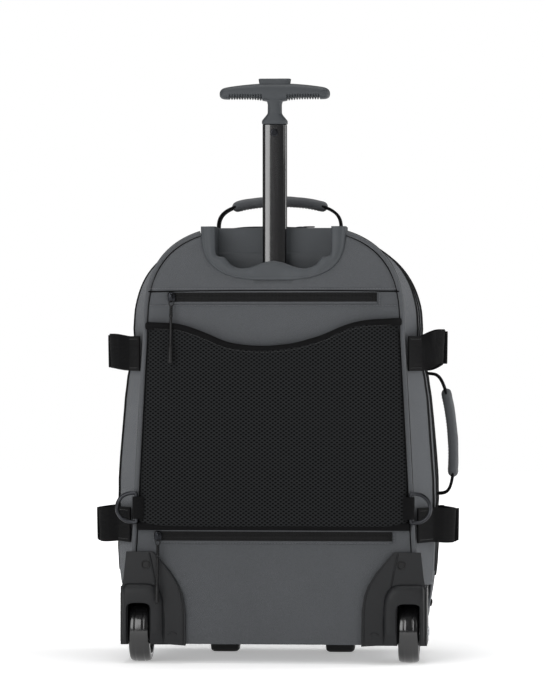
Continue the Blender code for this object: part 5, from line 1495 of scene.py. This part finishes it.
def add_studio():
    """Pale floor, white surroundings, soft lights and a long-lens camera behind the case."""
    scene = bpy.context.scene
    scene.view_settings.view_transform = "Standard"
    world = bpy.data.worlds.new("studio_white")
    scene.world = world
    world.use_nodes = True
    tree = world.node_tree
    back = tree.nodes["Background"]
    back.inputs["Color"].default_value = (1.0, 1.0, 1.0, 1.0)
    seen = tree.nodes.new("ShaderNodeLightPath")
    strength = tree.nodes.new("ShaderNodeMapRange")
    strength.inputs["To Min"].default_value = 0.18
    strength.inputs["To Max"].default_value = 1.0
    tree.links.new(seen.outputs["Is Camera Ray"], strength.inputs["Value"])
    tree.links.new(strength.outputs[0], back.inputs["Strength"])
    mesh = bpy.data.meshes.new("studio_floor")
    reach = 6.0
    mesh.from_pydata([(-reach, -reach, 0), (reach, -reach, 0), (reach, reach, 0), (-reach, reach, 0)], [],
                     [(0, 1, 2, 3)])
    floor = bpy.data.objects.new("studio_floor", mesh)
    scene.collection.objects.link(floor)
    paper = Finish("studio_paper", Specular_IOR_Level=0.1, Emission_Strength=1.0)
    grain = paper.noise(30, 3)
    place = paper.node("ShaderNodeTexCoord", output="Object")
    away = paper.node("ShaderNodeVectorMath", {"operation": "LENGTH"}, {0: place}, output=1)
    # painted light: the floor glows, dimmer near the case and up to full white from 1.5 m out, so that it fades into
    # the white surroundings
    glow = paper.mix(paper.step(away, 0.1, 1.5), (0.36, 0.36, 0.36), (1.0, 1.0, 1.0))
    paper.feed(paper.shader.inputs["Emission Color"], glow)
    mesh.materials.append(paper.finished(paper.mix(grain, (0.90, 0.90, 0.905), (0.94, 0.94, 0.94)), 0.9 + grain * 0.05))
    for name, place, wide, high, power in (
        ("soft_box", (-1.15, -2.5, 1.3), 1.80, 1.9, 40),
        ("fill_light", (2.0, -1.8, 1.4), 1.2, 1.4, 8),
        ("top_light", (0.0, -0.1, 2.4), 1.6, 1.6, 26),
        ("edge_light", (1.9, 0.5, 0.8), 0.5, 1.6, 14),
    ):
        lamp = bpy.data.lights.new(name, "AREA")
        lamp.shape = "RECTANGLE"
        lamp.size = wide
        lamp.size_y = high
        lamp.energy = power
        light = bpy.data.objects.new(name, lamp)
        scene.collection.objects.link(light)
        light.location = place
        aim = np.array([0, 0, 0.32]) - np.array(place)
        light.rotation_euler = (math.acos(-aim[2] / np.linalg.norm(aim)), 0, math.atan2(-aim[0], aim[1]))
    lens = bpy.data.cameras.new("camera")
    lens.lens = 174
    lens.clip_end = 60
    camera = bpy.data.objects.new("camera", lens)
    scene.collection.objects.link(camera)
    turn = math.radians(4)
    distance = 3.86
    camera.location = (distance * math.sin(turn), REAR - distance * math.cos(turn), 0.358)
    camera.rotation_euler = (math.radians(90), 0, turn)
    scene.camera = camera


# ---------------------------------------------------------------- add-on


class CASE_OT_bag(bpy.types.Operator):
    """Gussets, door, rear panel, piping, seams and stitching of the bag"""

    bl_idname = "laptop_case.add_bag"
    bl_label = "Bag"

    def execute(self, context):
        add_bag_shell()
        add_front_door()
        add_side_seams()
        add_rear_panel()
        add_piping()
        add_rear_stitching()
        return {"FINISHED"}


class CASE_OT_pocket(bpy.types.Operator):
    """Padded mesh pocket with its bound edges"""

    bl_idname = "laptop_case.add_pocket"
    bl_label = "Mesh pocket"

    def execute(self, context):
        add_mesh_pocket()
        return {"FINISHED"}


class CASE_OT_zips(bpy.types.Operator):
    """The two rear zips with sliders and cord pulls, and the slider of the long zip"""

    bl_idname = "laptop_case.add_zips"
    bl_label = "Zips"

    def execute(self, context):
        add_zip("upper", 0.118, 0.4184, 0.0115)
        add_zip("lower", 0.1355, 0.1456, 0.0116)
        add_slider("upper", -0.1164, 0.4184)
        add_slider("lower", -0.1317, 0.1456)
        add_door_slider()
        return {"FINISHED"}


class CASE_OT_straps(bpy.types.Operator):
    """Compression straps and their buckles"""

    bl_idname = "laptop_case.add_straps"
    bl_label = "Straps and buckles"

    def execute(self, context):
        add_straps()
        add_buckles()
        return {"FINISHED"}


class CASE_OT_rings(bpy.types.Operator):
    """D-rings in their webbing tabs"""

    bl_idname = "laptop_case.add_rings"
    bl_label = "Rings"

    def execute(self, context):
        add_rings()
        return {"FINISHED"}


class CASE_OT_wheels(bpy.types.Operator):
    """Wheel housings, wheels and the front foot"""

    bl_idname = "laptop_case.add_wheels"
    bl_label = "Wheels and foot"

    def execute(self, context):
        add_housings()
        add_wheels()
        add_foot()
        return {"FINISHED"}


class CASE_OT_trolley(bpy.types.Operator):
    """Handle tray, telescoping tubes and T-handle"""

    bl_idname = "laptop_case.add_trolley"
    bl_label = "Trolley"

    def execute(self, context):
        add_tray()
        add_trolley()
        add_grip()
        return {"FINISHED"}


class CASE_OT_handles(bpy.types.Operator):
    """Padded carry handle and grab handle"""

    bl_idname = "laptop_case.add_handles"
    bl_label = "Carry handles"

    def execute(self, context):
        add_handles()
        return {"FINISHED"}


class CASE_OT_inside(bpy.types.Operator):
    """Frame sheet, base board, laptop sleeve and stowed straps"""

    bl_idname = "laptop_case.add_inside"
    bl_label = "Inside"

    def execute(self, context):
        add_inside()
        return {"FINISHED"}


class CASE_OT_studio(bpy.types.Operator):
    """Floor, lights and camera"""

    bl_idname = "laptop_case.add_studio"
    bl_label = "Studio"

    def execute(self, context):
        add_studio()
        return {"FINISHED"}


OPERATORS = (
    CASE_OT_bag,
    CASE_OT_pocket,
    CASE_OT_zips,
    CASE_OT_straps,
    CASE_OT_rings,
    CASE_OT_wheels,
    CASE_OT_trolley,
    CASE_OT_handles,
    CASE_OT_inside,
    CASE_OT_studio,
)


class CASE_PT_panel(bpy.types.Panel):
    """Sizes, colours and pieces of the laptop case"""

    bl_idname = "CASE_PT_panel"
    bl_label = "Laptop case"
    bl_space_type = "VIEW_3D"
    bl_region_type = "UI"
    bl_category = "Laptop case"

    def draw(self, context):
        for group in (context.scene.case_sizes, context.scene.case_colours):
            for name in group.__annotations__:
                self.layout.prop(group, name)
        for kind in OPERATORS:
            self.layout.operator(kind.bl_idname)


CLASSES = (CaseSizes, CaseColours, *OPERATORS, CASE_PT_panel)


def register():
    for kind in CLASSES:
        bpy.utils.register_class(kind)
    bpy.types.Scene.case_sizes = PointerProperty(type=CaseSizes)
    bpy.types.Scene.case_colours = PointerProperty(type=CaseColours)


def unregister():
    del bpy.types.Scene.case_colours
    del bpy.types.Scene.case_sizes
    for kind in reversed(CLASSES):
        bpy.utils.unregister_class(kind)


def main():
    register()
    bpy.ops.laptop_case.add_bag()
    bpy.ops.laptop_case.add_pocket()
    bpy.ops.laptop_case.add_zips()
    bpy.ops.laptop_case.add_straps()
    bpy.ops.laptop_case.add_rings()
    bpy.ops.laptop_case.add_wheels()
    bpy.ops.laptop_case.add_trolley()
    bpy.ops.laptop_case.add_handles()
    bpy.ops.laptop_case.add_inside()
    bpy.ops.laptop_case.add_studio()


if __name__ == "__main__":
    main()
